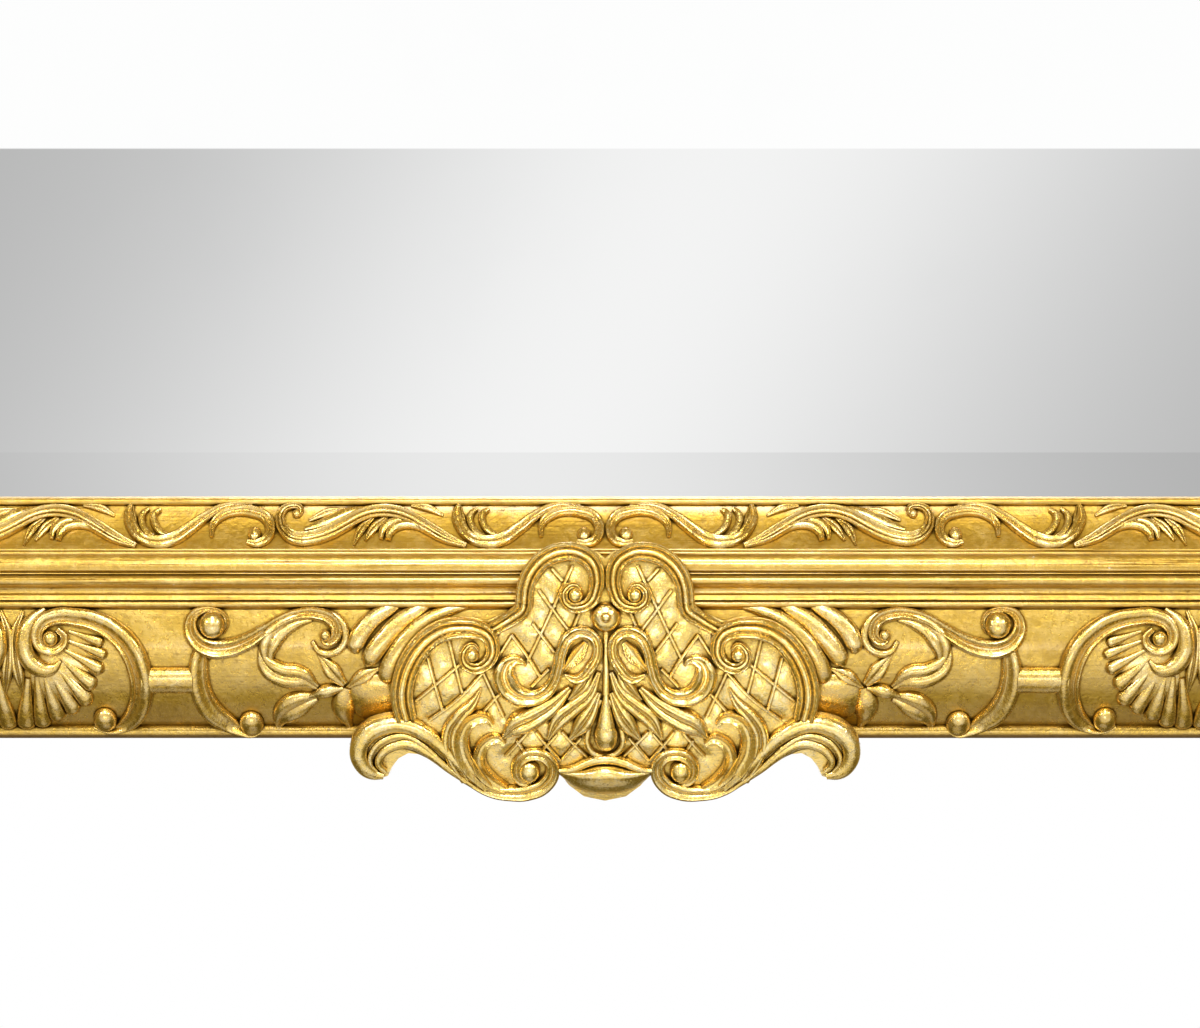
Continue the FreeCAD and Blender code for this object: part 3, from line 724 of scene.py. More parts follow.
@dataclass(frozen=True)
class Gilding:
    """Gold leaf over gesso: painted shade in the hollows and along the creases, worn patches and small pits.
    """

    name: str
    leaf: Triple
    pale: Triple
    run: Triple = (90, 90, 90)
    polish: float = 0.17
    gloss: float = 0.9
    scuffs: float = 0.0
    stains: float = 0.0
    chips: float = 0.0
    # Axis and sight distance of the outer moulding, for the painted shade on its fillet and the painted back
    # of its outer side.
    edge: tuple[int, float] | None = None
    # Distances out from the sight edge where the painted shade on the outer fillet rises and falls again.
    painted_fillet_shade: tuple[float, float, float, float] = (0.1160, 0.1195, 0.1216, 0.1222)
    rim: Span = (0.1238, 0.1243)
    gesso: Triple = (0.86, 0.78, 0.58)
    # Brown that dirt and stains turn the leaf to, also used for the painted shade in the hollows.
    grime_and_shade_tone: Triple = (0.30, 0.158, 0.007)
    # Near-black brown of the painted shade lines in the creases and on the outer fillet.
    painted_shade_colour: Triple = (0.085, 0.040, 0.001)
    bole: Triple = (0.15, 0.080, 0.018)
    ochre: Triple = (0.40, 0.235, 0.060)
    # Reaches of the ambient occlusion that places the painted shade in hollows and creases.
    hollow_reach: float = 0.006
    line_reach: float = 0.0022
    reach_samples: int = 8
    cloud_scale: float = 70.0
    mottle_scale: float = 300.0
    grain_scale: float = 1100.0
    stain_scale: float = 34.0
    hollow_band: Span = (0.18, 0.80)
    line_band: Span = (0.22, 0.60)
    worn_band: Span = (0.48, 0.70)
    dirt_band: Span = (0.64, 0.80)
    rub_band: Span = (0.53, 0.66)
    stain_band: Span = (0.48, 0.70)
    chip_band: Span = (0.72, 0.76)
    back_band: Span = (0.6, 0.9)
    metal: float = 0.9
    lacquer_roughness: float = 0.15
    lacquer_ior: float = 1.9
    bump_depth: float = 0.0013
    bump_strength: float = 0.6

    def closeness(self, nodes: Nodes, reach: float) -> Socket:
        """How far other surfaces close in on a place, within a reach."""
        settings = {"samples": self.reach_samples}
        return 1 - nodes.add("ShaderNodeAmbientOcclusion", settings, {"Distance": reach}, "AO")

    def wear_and_shade(self, nodes: Nodes) -> WearAndShade:
        """The masks that the finish is mixed with: painted shade, and the worn, dirty and soiled places.

        Args:
            nodes: The material's nodes.

        Returns:
            The masks.
        """
        where = nodes.place()
        cloud = nodes.noise(where, self.cloud_scale, 4)
        mottle = nodes.noise(where, self.mottle_scale, 4, 0.62)
        grain = nodes.noise(where, self.grain_scale, 3, 0.6)
        streak = nodes.noise(nodes.place(self.run), 1, 4, 0.65)
        uneven, fine = mottle - 0.5, grain - 0.5
        patches = mottle * 0.6 + cloud * 0.5
        # Ambient occlusion within a short reach marks the hollows; the leaf is darkened there as painted
        # shade.
        hollow = (self.closeness(nodes, self.hollow_reach) + uneven * 0.5).between(*self.hollow_band)
        # Ambient occlusion within about 2 mm marks the creases round every stroke, where painted shade lines
        # go.
        line = (self.closeness(nodes, self.line_reach) + fine * 0.25).between(*self.line_band)
        dirt = (mottle * 0.5 + grain * 0.4 + streak * 0.35).between(*self.dirt_band)
        rubbed = streak.between(*self.rub_band) * self.scuffs
        stain = nodes.noise(where, self.stain_scale, 5, 0.7).between(*self.stain_band) * self.stains
        # The dark mask is painted shade: the crease lines, and below the band over the outer fillet.
        dark = line * 0.92
        behind = nodes.normal(1).between(*self.back_band)
        if self.edge is not None:
            axis, sight = self.edge
            out = nodes.along(axis).math("ABSOLUTE") - sight
            # Painted shade: a band over the outer fillet is darkened.
            painted_fillet_shade = out.between(*self.painted_fillet_shade[:2]) * (1 - out.between(*self.painted_fillet_shade[2:]))
            dark = dark.most(painted_fillet_shade * 0.55)
            behind = behind.most(out.between(*self.rim))
        return WearAndShade(
            hollow=hollow, dark=dark, dirt=dirt, soil=rubbed + stain, behind=behind, mottle=mottle,
            worn=(patches + fine * 0.4 - hollow * 0.25).between(*self.worn_band),
            chip=(patches + fine * 0.3).between(*self.chip_band) * self.chips,
            height=cloud + mottle * 0.5 + grain * 0.12 - dirt * 0.15,
        )

    def colour(self, nodes: Nodes, wear_and_shade: WearAndShade) -> Socket:
        """The leaf's colour, from bright worn patches down to the painted shade lines and the painted back.

        Args:
            nodes: The material's nodes.
            wear_and_shade: Its masks.

        Returns:
            The colour.
        """
        leaf = nodes.blend(wear_and_shade.worn * 0.6, self.leaf, self.pale)
        # Painted shade: the leaf darkens toward brown in the hollows.
        leaf = nodes.blend(wear_and_shade.hollow * 0.5, leaf, self.grime_and_shade_tone)
        # Dirt, made stronger in the hollows: real dirt, partly painted shade there.
        leaf = nodes.blend(wear_and_shade.dirt * (0.45 + wear_and_shade.hollow * 0.4), leaf, self.grime_and_shade_tone)
        leaf = nodes.blend(wear_and_shade.soil.clamped(), leaf, self.grime_and_shade_tone)
        leaf = nodes.blend(wear_and_shade.chip, leaf, self.gesso)
        # Painted shade: the crease lines and the outer fillet go nearly black-brown.
        leaf = nodes.blend(wear_and_shade.dark, leaf, self.painted_shade_colour)
        return nodes.blend(wear_and_shade.behind, leaf, nodes.blend(wear_and_shade.mottle, self.bole, self.ochre))

    def material(self) -> bpy.types.Material:
        """The gilded finish.

        Returns:
            The material.
        """
        made, nodes = new_material(self.name)
        wear_and_shade = self.wear_and_shade(nodes)
        rough = self.polish + (wear_and_shade.mottle - 0.5) * 0.3 + wear_and_shade.hollow * 0.22 + wear_and_shade.dirt * 0.25
        rough = rough + (wear_and_shade.soil + wear_and_shade.behind * 1.5) * 0.2
        # The lacquer is left off the painted shade lines and hollows, off dirt and off the painted back.
        clean_unshaded = (1 - wear_and_shade.dark) * (1 - wear_and_shade.behind) * (1 - wear_and_shade.hollow) * (1 - wear_and_shade.dirt * 0.6)
        nodes.surface(
            Base_Color=self.colour(nodes, wear_and_shade),
            Metallic=self.metal * (1 - wear_and_shade.behind),
            Roughness=rough.clamped(),
            Coat_Weight=self.gloss * clean_unshaded * (1 - wear_and_shade.soil.clamped()),
            Coat_Roughness=self.lacquer_roughness,
            Coat_IOR=self.lacquer_ior,
            Normal=nodes.bump(wear_and_shade.height, self.bump_depth, self.bump_strength),
        )
        return made


@dataclass(frozen=True)
class Timber:
    """Planed softwood: growth bands stretched along one axis, each board cut from another place."""

    name: str
    grain: Triple
    cut: float
    light: Triple = (0.56, 0.37, 0.19)
    dark: Triple = (0.36, 0.205, 0.09)
    bands: float = 75.0
    band_power: float = 1.6
    fibre_scale: float = 60.0
    stain_scale: float = 4.0
    stain_band: Span = (0.45, 0.8)

    def material(self) -> bpy.types.Material:
        """The bare wood finish.

        Returns:
            The material.
        """
        made, nodes = new_material(self.name)
        where = nodes.place(self.grain, (self.cut, self.cut, self.cut))
        growth = nodes.noise(where, 1.0, 2, 0.4)
        fibre = nodes.noise(where, self.fibre_scale, 3)
        stain = nodes.noise(nodes.place(), self.stain_scale, 4).between(*self.stain_band)
        rings = ((growth * self.bands).math("SINE") * 0.5 + 0.5) ** self.band_power
        tone = (rings * 0.5 + fibre * 0.45 + 0.1).clamped()
        colour = nodes.blend(tone, self.light, self.dark)
        colour = nodes.blend(stain * 0.4, colour, self.dark)
        bump = nodes.bump(fibre + rings * 0.3, 0.0006, 0.5)
        nodes.surface(Base_Color=colour, Roughness=0.62 + fibre * 0.25, Normal=bump)
        return made


@dataclass(frozen=True)
class PlainMetal:
    """Dull metal with scuffs."""

    name: str
    colour: Triple
    tarnish: Triple
    roughness: float
    tarnish_band: Span = (0.4, 0.75)
    brushing: Triple = (40, 40, 600)

    def material(self) -> bpy.types.Material:
        """The metal finish.

        Returns:
            The material.
        """
        made, nodes = new_material(self.name)
        cloud = nodes.noise(nodes.place(), 120, 4)
        scratch = nodes.noise(nodes.place(self.brushing), 6, 3)
        colour = nodes.blend(cloud.between(*self.tarnish_band) * 0.7, self.colour, self.tarnish)
        rough = (self.roughness + (cloud - 0.5) * 0.3 + (scratch - 0.5) * 0.1).clamped()
        bump = nodes.bump(scratch, 0.0002, 0.4)
        nodes.surface(Base_Color=colour, Metallic=1.0, Roughness=rough, Normal=bump)
        return made


@dataclass(frozen=True)
class Silvering:
    """Silvered plate: a clear reflection with a faint haze."""

    tint: Triple = (0.985, 0.988, 0.985)
    haze: Triple = (0.94, 0.945, 0.945)
    haze_band: Span = (0.5, 0.85)
    roughness: float = 0.003

    def material(self) -> bpy.types.Material:
        """The mirror finish.

        Returns:
            The material.
        """
        made, nodes = new_material("silvered_plate")
        cloud = nodes.noise(nodes.place(), 9, 4)
        colour = nodes.blend(cloud.between(*self.haze_band) * 0.5, self.tint, self.haze)
        nodes.surface(Base_Color=colour, Metallic=1.0, Roughness=self.roughness + cloud * self.roughness)
        return made


@dataclass
class Finishing:
    """Gives every solid and every carved piece its finish."""

    leaf: Triple = (0.61, 0.372, 0.042)
    pale: Triple = (0.79, 0.555, 0.16)
    plain_polish: float = 0.29
    runs: tuple[Triple, Triple] = ((700, 700, 13), (13, 700, 700))
    edges: tuple = ((0, RAIL.sight_half_x), (2, RAIL.sight_half_z))
    grains: tuple[Triple, Triple] = ((9, 9, 0.7), (0.7, 9, 9))
    cut_step: float = 3.7
    relief: Gilding = Gilding("gilding_relief", (0.71, 0.450, 0.058), (0.94, 0.74, 0.34), polish=0.23)
    carved: Gilding = Gilding("gilding_carved", (0.94, 0.635, 0.115), (1.0, 0.87, 0.50), polish=0.14)
    steel: PlainMetal = PlainMetal("dull_steel", (0.42, 0.42, 0.43), (0.20, 0.17, 0.14), 0.42)
    brass: PlainMetal = PlainMetal("dull_brass", (0.62, 0.43, 0.16), (0.28, 0.18, 0.07), 0.36)
    made: dict[str, bpy.types.Material] = field(default_factory=dict)

    def moulding(self, kind: str, lying: bool) -> Gilding:
        """The gilding of a plain moulding.

        Args:
            kind: Which moulding: sight, reeded or outer.
            lying: Whether it runs from left to right.

        Returns:
            Its gilding, worn along the moulding.
        """
        name = f"gilding_{kind}_{'lying' if lying else 'upright'}"
        plain = Gilding(name, self.leaf, self.pale, self.runs[lying], self.plain_polish)
        if kind == "reeded":
            return replace(plain, leaf=(0.56, 0.340, 0.040), scuffs=0.85, gloss=0.6, polish=0.36, chips=0.7)
        if kind == "sight":
            return replace(plain, scuffs=0.3, stains=0.5, gloss=0.45, polish=0.38, chips=0.3)
        return replace(plain, leaf=(0.63, 0.395, 0.050), stains=0.42, gloss=0.45, edge=self.edges[lying])

    def gilding(self, name: str) -> bpy.types.Material:
        """The gilding of a piece.

        Args:
            name: The piece's name.

        Returns:
            Its material, made once for all pieces that share it.
        """
        if "cartouche" in name:
            finish = self.carved
        elif "carved" in name:
            finish = self.relief
        else:
            finish = self.moulding(name.split("_")[0], name.endswith(("bottom", "top")))
        if finish.name not in self.made:
            self.made[finish.name] = finish.material()
        return self.made[finish.name]

    def solids(self) -> None:
        """Dresses the solids that stay in view."""
        steel, brass = self.steel.material(), self.brass.material()
        silver = Silvering().material()
        for index, (name, node) in enumerate(sorted(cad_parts.items())):
            if "screws" in name or "pins" in name:
                finish = steel
            elif "moulding" in name or "cartouche" in name:
                finish = self.gilding(name)
            elif name.startswith("hang"):
                finish = brass
            elif name == "mirror_glass":
                finish = silver
            else:
                lying = "rail" in name or name.endswith(("bottom", "top", "blocks"))
                finish = Timber(f"pine_{name}", self.grains[lying], index * self.cut_step).material()
            node.data.materials.clear()
            node.data.materials.append(finish)
            LOG.info("%s: %s", name, finish.name)


class CarvedWork:
    """Carving that is gilded all over and moves with the mirror."""

    def build(self, carver: Carver) -> list[bpy.types.Object]:
        """Carves the pieces; each kind of work has its own way."""
        raise NotImplementedError

    def dress(self, pieces: Iterable[bpy.types.Object], finishing: Finishing) -> None:
        """Gilds carved pieces and puts them on the mirror's body.

        Args:
            pieces: The pieces.
            finishing: Where the gilding comes from.
        """
        for piece in pieces:
            piece.data.materials.clear()
            piece.data.materials.append(finishing.gilding(piece.name))
            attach(piece, BODY)


@dataclass
class Cartouche(CarvedWork):
    """The carved cartouche of the middle of a rail, which is bent for the corners too."""

    back: float = 0.008
    block_depth: float = 0.04
    back_share: float = 0.95
    slices: int = 72
    groove: float = 2.0
    groove_half: float = 4.8
    rib_half: float = 1.5
    pillow_power: float = 1.5
    outline: Trace = (
        (605, 558), (613, 551), (638, 544), (668, 552), (686, 567), (692, 584), (692, 604), (700, 610),
        (722, 620), (735, 620), (753, 619), (771, 624), (788, 635), (803, 653), (812, 672), (814.5, 692),
        (814, 714), (822, 715), (840, 719), (855, 730), (860.5, 744), (858.5, 761), (850, 775),
        (836, 781.5), (823, 777), (819, 768), (812, 759), (802, 753.5), (789, 755), (776, 764), (755, 775),
        (725, 791), (706, 797), (686, 798), (669, 793), (657, 782), (651, 774), (641, 787), (626, 798.5),
        (605, 803),
    )
    strokes: tuple[Stroke, ...] = (
        Stroke(Section.BAND, ((628, 590), (634, 584), (643, 587), (646, 596), (641, 604), (631, 606),
                (620, 601), (614.5, 590), (613, 576), (618, 562), (630, 553.5), (646, 551.5), (663, 557),
                (676, 569), (683.5, 585), (685.5, 602)),
               (2, 3, 3.6, 4.2, 4.8, 5.4, 6.2, 7, 7.8, 8.6, 9, 9.3, 9.3, 9, 8.7, 8.5), 7),
        Stroke(Section.BAND, ((685.5, 598), (687, 608), (697, 616.5), (718, 629)), (8.5, 8.3, 7.8, 6.5), 6),
        Stroke(Section.BAND, ((731, 648), (736, 643), (744, 648), (745, 658), (736, 665), (725, 663),
                (718, 655), (716.5, 645), (721, 634), (732, 628), (746, 626.5), (762, 628), (777, 635),
                (789, 646), (799, 661), (805.5, 679), (807, 697), (803, 717)),
               (2, 3, 4, 5, 5.5, 6, 6.5, 7, 8, 9, 9.8, 10.2, 10.5, 10.8, 11, 11, 11, 10), 7),
        Stroke(Section.LOBE, ((726, 789), (756, 768), (780, 747), (804, 736), (826, 739), (840, 751),
                (841, 764), (828, 772)),
               (4, 9, 13, 15, 15, 13, 9, 4), -2),
        Stroke(Section.ROUND, ((722, 788), (748, 767), (770, 744), (788, 730), (806, 723), (826, 724),
                (843, 733), (851, 747), (849, 762), (839, 772), (827, 775)),
               (3, 5, 6.5, 8, 8.5, 9.5, 10, 9.5, 8.5, 6.5, 3.5), 4),
        Stroke(Section.ROUND, ((745, 781), (768, 760), (788, 742), (806, 733.5), (824, 737), (837, 748),
                (840, 761), (833, 770)),
               (1.5, 2.2, 2.6, 3, 3, 2.8, 2.4, 1.2), 6.5),
        Stroke(Section.ROUND, ((735, 787), (760, 769), (782, 751), (800, 742), (816, 744), (828, 752),
                (832, 763), (825, 771)),
               (2, 3.5, 4.5, 5, 5, 4.5, 3.5, 2), 5),
        Stroke(Section.RIDGE, ((745, 779), (722, 790), (700, 793.5), (680, 791.5), (664, 783), (657.5, 770),
                (662, 758), (675, 752.5), (688, 757), (694, 768), (690, 780), (680, 784)),
               (4, 6, 7, 7.8, 7.8, 7, 6.5, 6, 6, 5.5, 4.5, 3), 4),
        Stroke(Section.RIDGE, ((645, 673), (633, 677), (620, 666), (612.5, 649), (617, 635), (629, 630.5),
                (641, 636), (648, 649), (651.5, 665), (657, 681), (667, 692), (681, 696), (695, 691.5),
                (704, 680), (704.5, 668), (697, 659), (688, 659.5), (684, 664)),
               (1.5, 4.5, 5.5, 5, 5.5, 6, 6, 5.5, 5.8, 6.2, 7, 8, 10, 11.5, 10, 6, 3, 1.5), 6),
        Stroke(Section.SCOOP, ((624, 641), (632, 652), (646, 669)), (3, 7.5, 2.5), 3),
        Stroke(Section.LEAF, ((611, 690), (619, 708), (628, 722), (640, 737)), (2.5, 7, 9, 1.5), 5),
        Stroke(Section.LEAF, ((611, 670), (621, 692), (637, 706), (652, 719), (662, 737)),
               (2.5, 6.5, 8.5, 8.5, 1.5), 4),
        Stroke(Section.LEAF, ((617, 669), (627, 683), (641, 698)), (2, 7, 2), 4),
        Stroke(Section.LEAF, ((640, 686), (657, 703), (678, 716), (695, 724), (708, 737)),
               (3, 8.5, 11, 10, 1.5), 5),
        Stroke(Section.ROUND, ((609, 697), (616, 712), (622, 730), (622, 744), (615, 753), (606, 756)),
               (2, 2.5, 3, 3, 3, 3), 4),
        Stroke(Section.ROUND, ((606, 630), (606, 660), (606, 692)), (3, 3, 4), 3, False),
        Stroke(Section.ROUND, ((606, 688), (606, 706), (606, 724)), (2.5, 6, 10), 3, False),
        Stroke(Section.LEAF, ((728, 686), (737, 702), (750, 715), (760, 733), (758, 755), (745, 780)),
               (1, 5, 7.5, 8.5, 8, 5), 4),
        Stroke(Section.SCOOP, ((717, 723), (724, 716), (736, 717), (746, 728), (748, 745), (740, 765),
                (722, 786)),
               (2.5, 4.5, 6, 7, 8, 8, 5), 6),
        Stroke(Section.SCOOP, ((705, 742), (713, 736.5), (723, 740), (730, 750), (730, 764), (720, 778),
                (704, 788)),
               (2.5, 4, 5.5, 6.5, 7, 6.5, 4), 6),
        Stroke(Section.ROUND, ((559, 769), (572, 768), (590, 760.5), (606, 757.5), (622, 760.5), (640, 768),
                (653, 769)),
               (2, 3, 4, 4.5, 4, 3, 2), 6, False),
        Stroke(Section.BOWL, ((559, 772), (571, 777.5), (586, 782), (605.5, 783), (625, 782), (640, 777.5),
                (652, 772)),
               (2, 9.5, 17, 20.5, 17, 9.5, 2), 4, False),
    )
    lattice: tuple[Trace, ...] = (
        ((637, 565), (657, 608), (682, 660)), ((671, 589), (657, 608), (641, 629)),
        ((677, 622), (655, 651)), ((698, 634), (681, 657), (669, 677)), ((661, 668), (678, 686)),
        ((629, 609), (637, 628)), ((658, 568), (647, 580)), ((698, 635), (717, 665)),
        ((648, 731), (622, 758)), ((629, 737), (649, 761)), ((674, 731), (650, 761)),
        ((653, 733), (670, 752)), ((682, 731), (705, 757)), ((693, 740), (684, 754)),
        ((760, 639), (747, 691)), ((781, 656), (767, 709)), ((746, 660), (774, 683), (794, 700)),
        ((727, 672), (750, 696), (781, 720)), ((726, 672), (706, 717)), ((710, 693), (727, 712)),
    )
    pillows: tuple[tuple[Point, Point, float], ...] = (
        ((660, 612), (44, 72), 6.0), ((762, 676), (48, 54), 6.0), ((664, 742), (56, 26), 3.0),
        ((606, 690), (44, 66), 3.0),
    )
    bosses: tuple[Boss, ...] = (
        Boss((605.8, 616.3), (15, 15), 10, 3, False), Boss((605.8, 615.3), (5.5, 5.5), 5, 12, False),
        Boss((634, 594), (8, 8), 8, 5), Boss((736.5, 652.5), (7, 7), 7, 6),
        Boss((681, 771), (11, 11), 9, 3), Boss((606, 734), (12.5, 16), 11, 3, False),
    )

    @staticmethod
    def traced(plan: np.ndarray) -> tuple[np.ndarray, np.ndarray]:
        """Places of the plan in pixels, with both halves folded onto the right one."""
        return AXIS_X + np.abs(plan[:, 0]) / PIXEL, SIGHT_Y - plan[:, 1] / PIXEL

    def pillow(self, plan: np.ndarray) -> np.ndarray:
        """How far the ground swells.

        Args:
            plan: Rows of plan x and y.

        Returns:
            The rise at each place.
        """
        along, down = self.traced(plan)
        rise = np.zeros(len(plan))
        for (x, y), (half_x, half_y), height in self.pillows:
            away = ((along - x) / half_x) ** 2 + ((down - y) / half_y) ** 2
            rise += height * np.clip(1 - away, 0, 1) ** self.pillow_power
        return rise * PIXEL

    def quilt(self, plan: np.ndarray) -> np.ndarray:
        """How far the ground dips along the lattice.

        Args:
            plan: Rows of plan x and y.

        Returns:
            The dip at each place.
        """
        along, down = self.traced(plan)
        nearest = np.full(len(plan), np.inf)
        for line in self.lattice:
            for (x0, y0), (x1, y1) in zip(line, line[1:]):
                length = (x1 - x0) ** 2 + (y1 - y0) ** 2
                share = np.clip(((along - x0) * (x1 - x0) + (down - y0) * (y1 - y0)) / length, 0, 1)
                away = np.hypot(along - x0 - share * (x1 - x0), down - y0 - share * (y1 - y0))
                nearest = np.minimum(nearest, away)
        return np.exp(-(nearest / self.groove_half) ** 2) * self.groove * PIXEL

    def ground(self) -> bpy.types.Object:
        """The crowned block behind the carving, still flat: its front above, its back below.

        Returns:
            The block, sliced so that it can follow the crown and the corner's bend.
        """
        made = empty_curve("2D")
        made.data.fill_mode = "BOTH"
        made.data.extrude = self.block_depth
        half = list(self.outline)
        ring = [flat(place) for place in half + [(2 * AXIS_X - x, y) for x, y in reversed(half[1:-1])]]
        closed_line(made.data, ring)
        bpy.ops.object.convert(target="MESH")
        made = bpy.context.object
        bpy.ops.object.mode_set(mode="EDIT")
        bpy.ops.mesh.select_all(action="SELECT")
        bpy.ops.mesh.remove_doubles(threshold=OUTLINE_DOUBLES)
        corners = np.array(ring)
        for axis, normal in enumerate(((1, 0, 0), (0, 1, 0))):
            low, high = corners[:, axis].min(), corners[:, axis].max()
            for place in np.linspace(low, high, self.slices * (2 - axis) + 1)[1:-1]:
                bpy.ops.mesh.select_all(action="SELECT")
                centre = [place if index == axis else 0.0 for index in range(3)]
                bpy.ops.mesh.bisect(plane_co=centre, plane_no=normal)
        bpy.ops.object.mode_set(mode="OBJECT")
        return made

    def build(self, carver: Carver) -> list[bpy.types.Object]:
        """Carves the cartouche once and copies it to every side and corner.

        Args:
            carver: The carver that cuts the strokes.

        Returns:
            One piece per cartouche.
        """
        ribs = [Stroke(Section.RIB, line, (self.rib_half, self.rib_half)) for line in self.lattice]
        strokes = mirrored_strokes([*self.strokes, *ribs])
        carving = carver.carve(strokes, mirrored_bosses(self.bosses), "cartouche_carving")
        whole = joined([carving, self.ground()], "cartouche_master")
        tidy_mesh(whole)
        values = coordinates(whole)
        low = values[:, 2] < -self.block_depth * self.back_share
        front = np.isclose(values[:, 2], self.block_depth)
        raised = values.copy()
        raised[front, 2] = -self.quilt(values[front])
        raised[:, 2] += self.pillow(values)
        rows = laid(raised, RAIL.crown)
        rows[low] = np.stack([values[low, 0], -values[low, 1], np.full(low.sum(), self.back)], axis=1)
        pieces = []
        for side in Side:
            piece = copy_of(whole, f"{side.name.lower()}_cartouche_carved")
            place_vertices(piece, on_side(rows, side))
            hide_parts(f"{side.name.lower()}_cartouche")
            pieces.append(piece)
        for corner in Corner:
            piece = copy_of(whole, f"{corner.name.lower()}_corner_cartouche_carved")
            place_vertices(piece, CornerBend().placed(rows, corner))
            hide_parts(f"{corner.name.lower()}_corner_cartouche")
            pieces.append(piece)
        bpy.data.objects.remove(whole)
        return pieces


@dataclass
class Strapwork(CarvedWork):
    """Low carving on the outer swell: gadroons, scrolled straps, flowers, balls and shells."""

    shell_axis: float = 1197.0
    bar_y: float = 679.5
    bar_half: float = 12.5
    bar_lift: float = 3.0
    long_bars: tuple[Span, ...] = ((1017, 1068), (1330, 1450))
    short_bars: tuple[Span, ...] = ((1017, 1140),)
    strap: tuple[Stroke, ...] = (
        Stroke(Section.LOBE, ((742, 606), (762, 611), (783, 621), (802, 638), (815, 657), (821, 670),
                (823, 679), (823.5, 684)),
               (3, 6, 8, 9.5, 10.5, 10.5, 8, 2.5), 2),
        Stroke(Section.LOBE, ((778, 603), (793, 611), (809, 621), (825, 638), (836, 652), (841, 660),
                (844, 665)),
               (3, 7, 9, 10, 10, 8, 2.5), 2),
        Stroke(Section.LOBE, ((808, 603), (820, 609), (834, 617), (846, 629), (852.5, 640), (854, 647),
                (853, 653)),
               (3, 6.5, 8.5, 9.5, 9.5, 8, 2.5), 2),
        Stroke(Section.PETAL, ((831, 668), (847, 676.5), (864, 688)), (1.5, 7.5, 1.5), 1.5),
        Stroke(Section.RIDGE, ((887, 633), (883, 641), (875, 638), (873, 628), (879, 619), (893, 614),
                (908, 614), (926, 619.5), (945, 631), (964, 642), (985, 648), (1002, 646.5), (1014, 638),
                (1018.5, 626), (1015, 615.5), (1005, 610.5), (994, 610.5), (985, 615), (982, 624),
                (986, 633)),
               (3, 4, 5, 6, 6.5, 6.5, 6, 6, 7, 8.5, 9.5, 9.5, 8.5, 7, 5.5, 4, 3, 2.5, 2, 1.2), 3),
        Stroke(Section.ROUND, ((897, 641), (890, 651), (876, 652), (866, 644), (864, 631), (870, 619),
                (884, 611)),
               (2.5, 3.5, 4, 4, 4, 4, 3), 2),
        Stroke(Section.PETAL, ((898, 618), (914, 621), (930, 630), (940, 644), (942, 662)),
               (4, 8, 10.5, 11, 5), 1.2),
        Stroke(Section.PETAL, ((893, 687), (908, 677), (928, 674), (943, 664), (950, 647)),
               (3, 11, 12, 9.5, 1.5), 1.2),
        Stroke(Section.PETAL, ((894, 697), (908, 702), (922, 709), (931, 718), (935, 732)),
               (5, 11.5, 13, 9, 1.5), 1),
        Stroke(Section.ROUND, ((867, 687), (884, 690), (901, 695)), (1.5, 6, 1.5), 4),
        Stroke(Section.PETAL, ((866, 684), (878, 670), (891, 654)), (4, 8.5, 1.5), 1),
        Stroke(Section.LOBE, ((864, 687), (867, 699), (867, 712), (862, 728)), (6, 11, 11, 3), 1),
        Stroke(Section.STRAP, ((1007, 647), (1010, 660), (1011, 677), (1008, 695), (1000, 710), (987, 722),
                (972, 731), (960, 735), (950, 732)),
               (6.5, 9.5, 10.5, 11, 11, 9.5, 6.5, 4, 1.5), 2),
    )
    strap_bosses: tuple[Boss, ...] = (
        Boss((996.5, 625), (13, 13), 9, 6), Boss((884, 635), (6, 6), 6, 3),
        Boss((961, 724), (12.5, 12.5), 10, 2), Boss((836, 697), (30, 26), 9, -2),
    )
    shell: tuple[Stroke, ...] = (
        Stroke(Section.STRAP, ((1120, 727), (1106, 731), (1090, 726), (1076, 712), (1069, 692), (1070, 670),
                (1078, 649), (1092, 633), (1111, 622), (1134, 617), (1154, 617), (1168, 625), (1171, 639),
                (1162, 649), (1149, 647), (1144, 637), (1151, 629)),
               (2, 4, 7, 10, 11.5, 12, 12, 11, 10, 9, 8.5, 7.5, 6.5, 5.5, 5, 4, 3), 3),
        Stroke(Section.ROUND, ((1164, 609), (1177, 620), (1184, 638), (1181, 656), (1170, 667), (1157, 668),
                (1148, 660)),
               (2.5, 6.5, 9, 9.5, 8.5, 6, 2), 2),
        Stroke(Section.LEAF, ((1186, 611), (1192.5, 630), (1193.5, 652), (1191, 674), (1188, 694)),
               (2, 5, 5.5, 6, 1.5), 1),
    )
    ribs: tuple[tuple[Point, Point, float], ...] = (
        ((1140, 631), (1105, 643), 5.5), ((1140, 641), (1102, 655.5), 6), ((1144, 650), (1106, 671), 7),
        ((1150, 657), (1115, 687), 8), ((1154, 665), (1121, 704), 8.5), ((1160, 671), (1136, 713), 8.5),
        ((1166, 674), (1154, 721), 9), ((1173, 676), (1171, 728), 9.5), ((1182, 678), (1189, 730), 10),
    )
    rib_shares: tuple[float, ...] = (0, 0.45, 0.8, 0.93, 1)
    rib_taper: tuple[float, ...] = (0.34, 0.66, 1.0, 0.92, 0.45)
    rib_lift: float = -0.5
    shell_bosses: tuple[Boss, ...] = (
        Boss((1108, 720), (12, 12), 10, 2), Boss((1158, 638), (8, 8), 7, 3),
        Boss((1150, 680), (33, 35), 4.5, -1.5),
    )

    def shell_half(self) -> list[Stroke]:
        """The strokes of half a shell, its ribs fanned out from the volute.

        Returns:
            The ribs, then the scrolls round them.
        """
        made = []
        for root, tip, width in self.ribs:
            path = [tuple(a + (b - a) * share for a, b in zip(root, tip)) for share in self.rib_shares]
            widths = [width * share for share in self.rib_taper]
            made.append(Stroke(Section.ROUND, path, widths, self.rib_lift))
        return [*made, *self.shell]

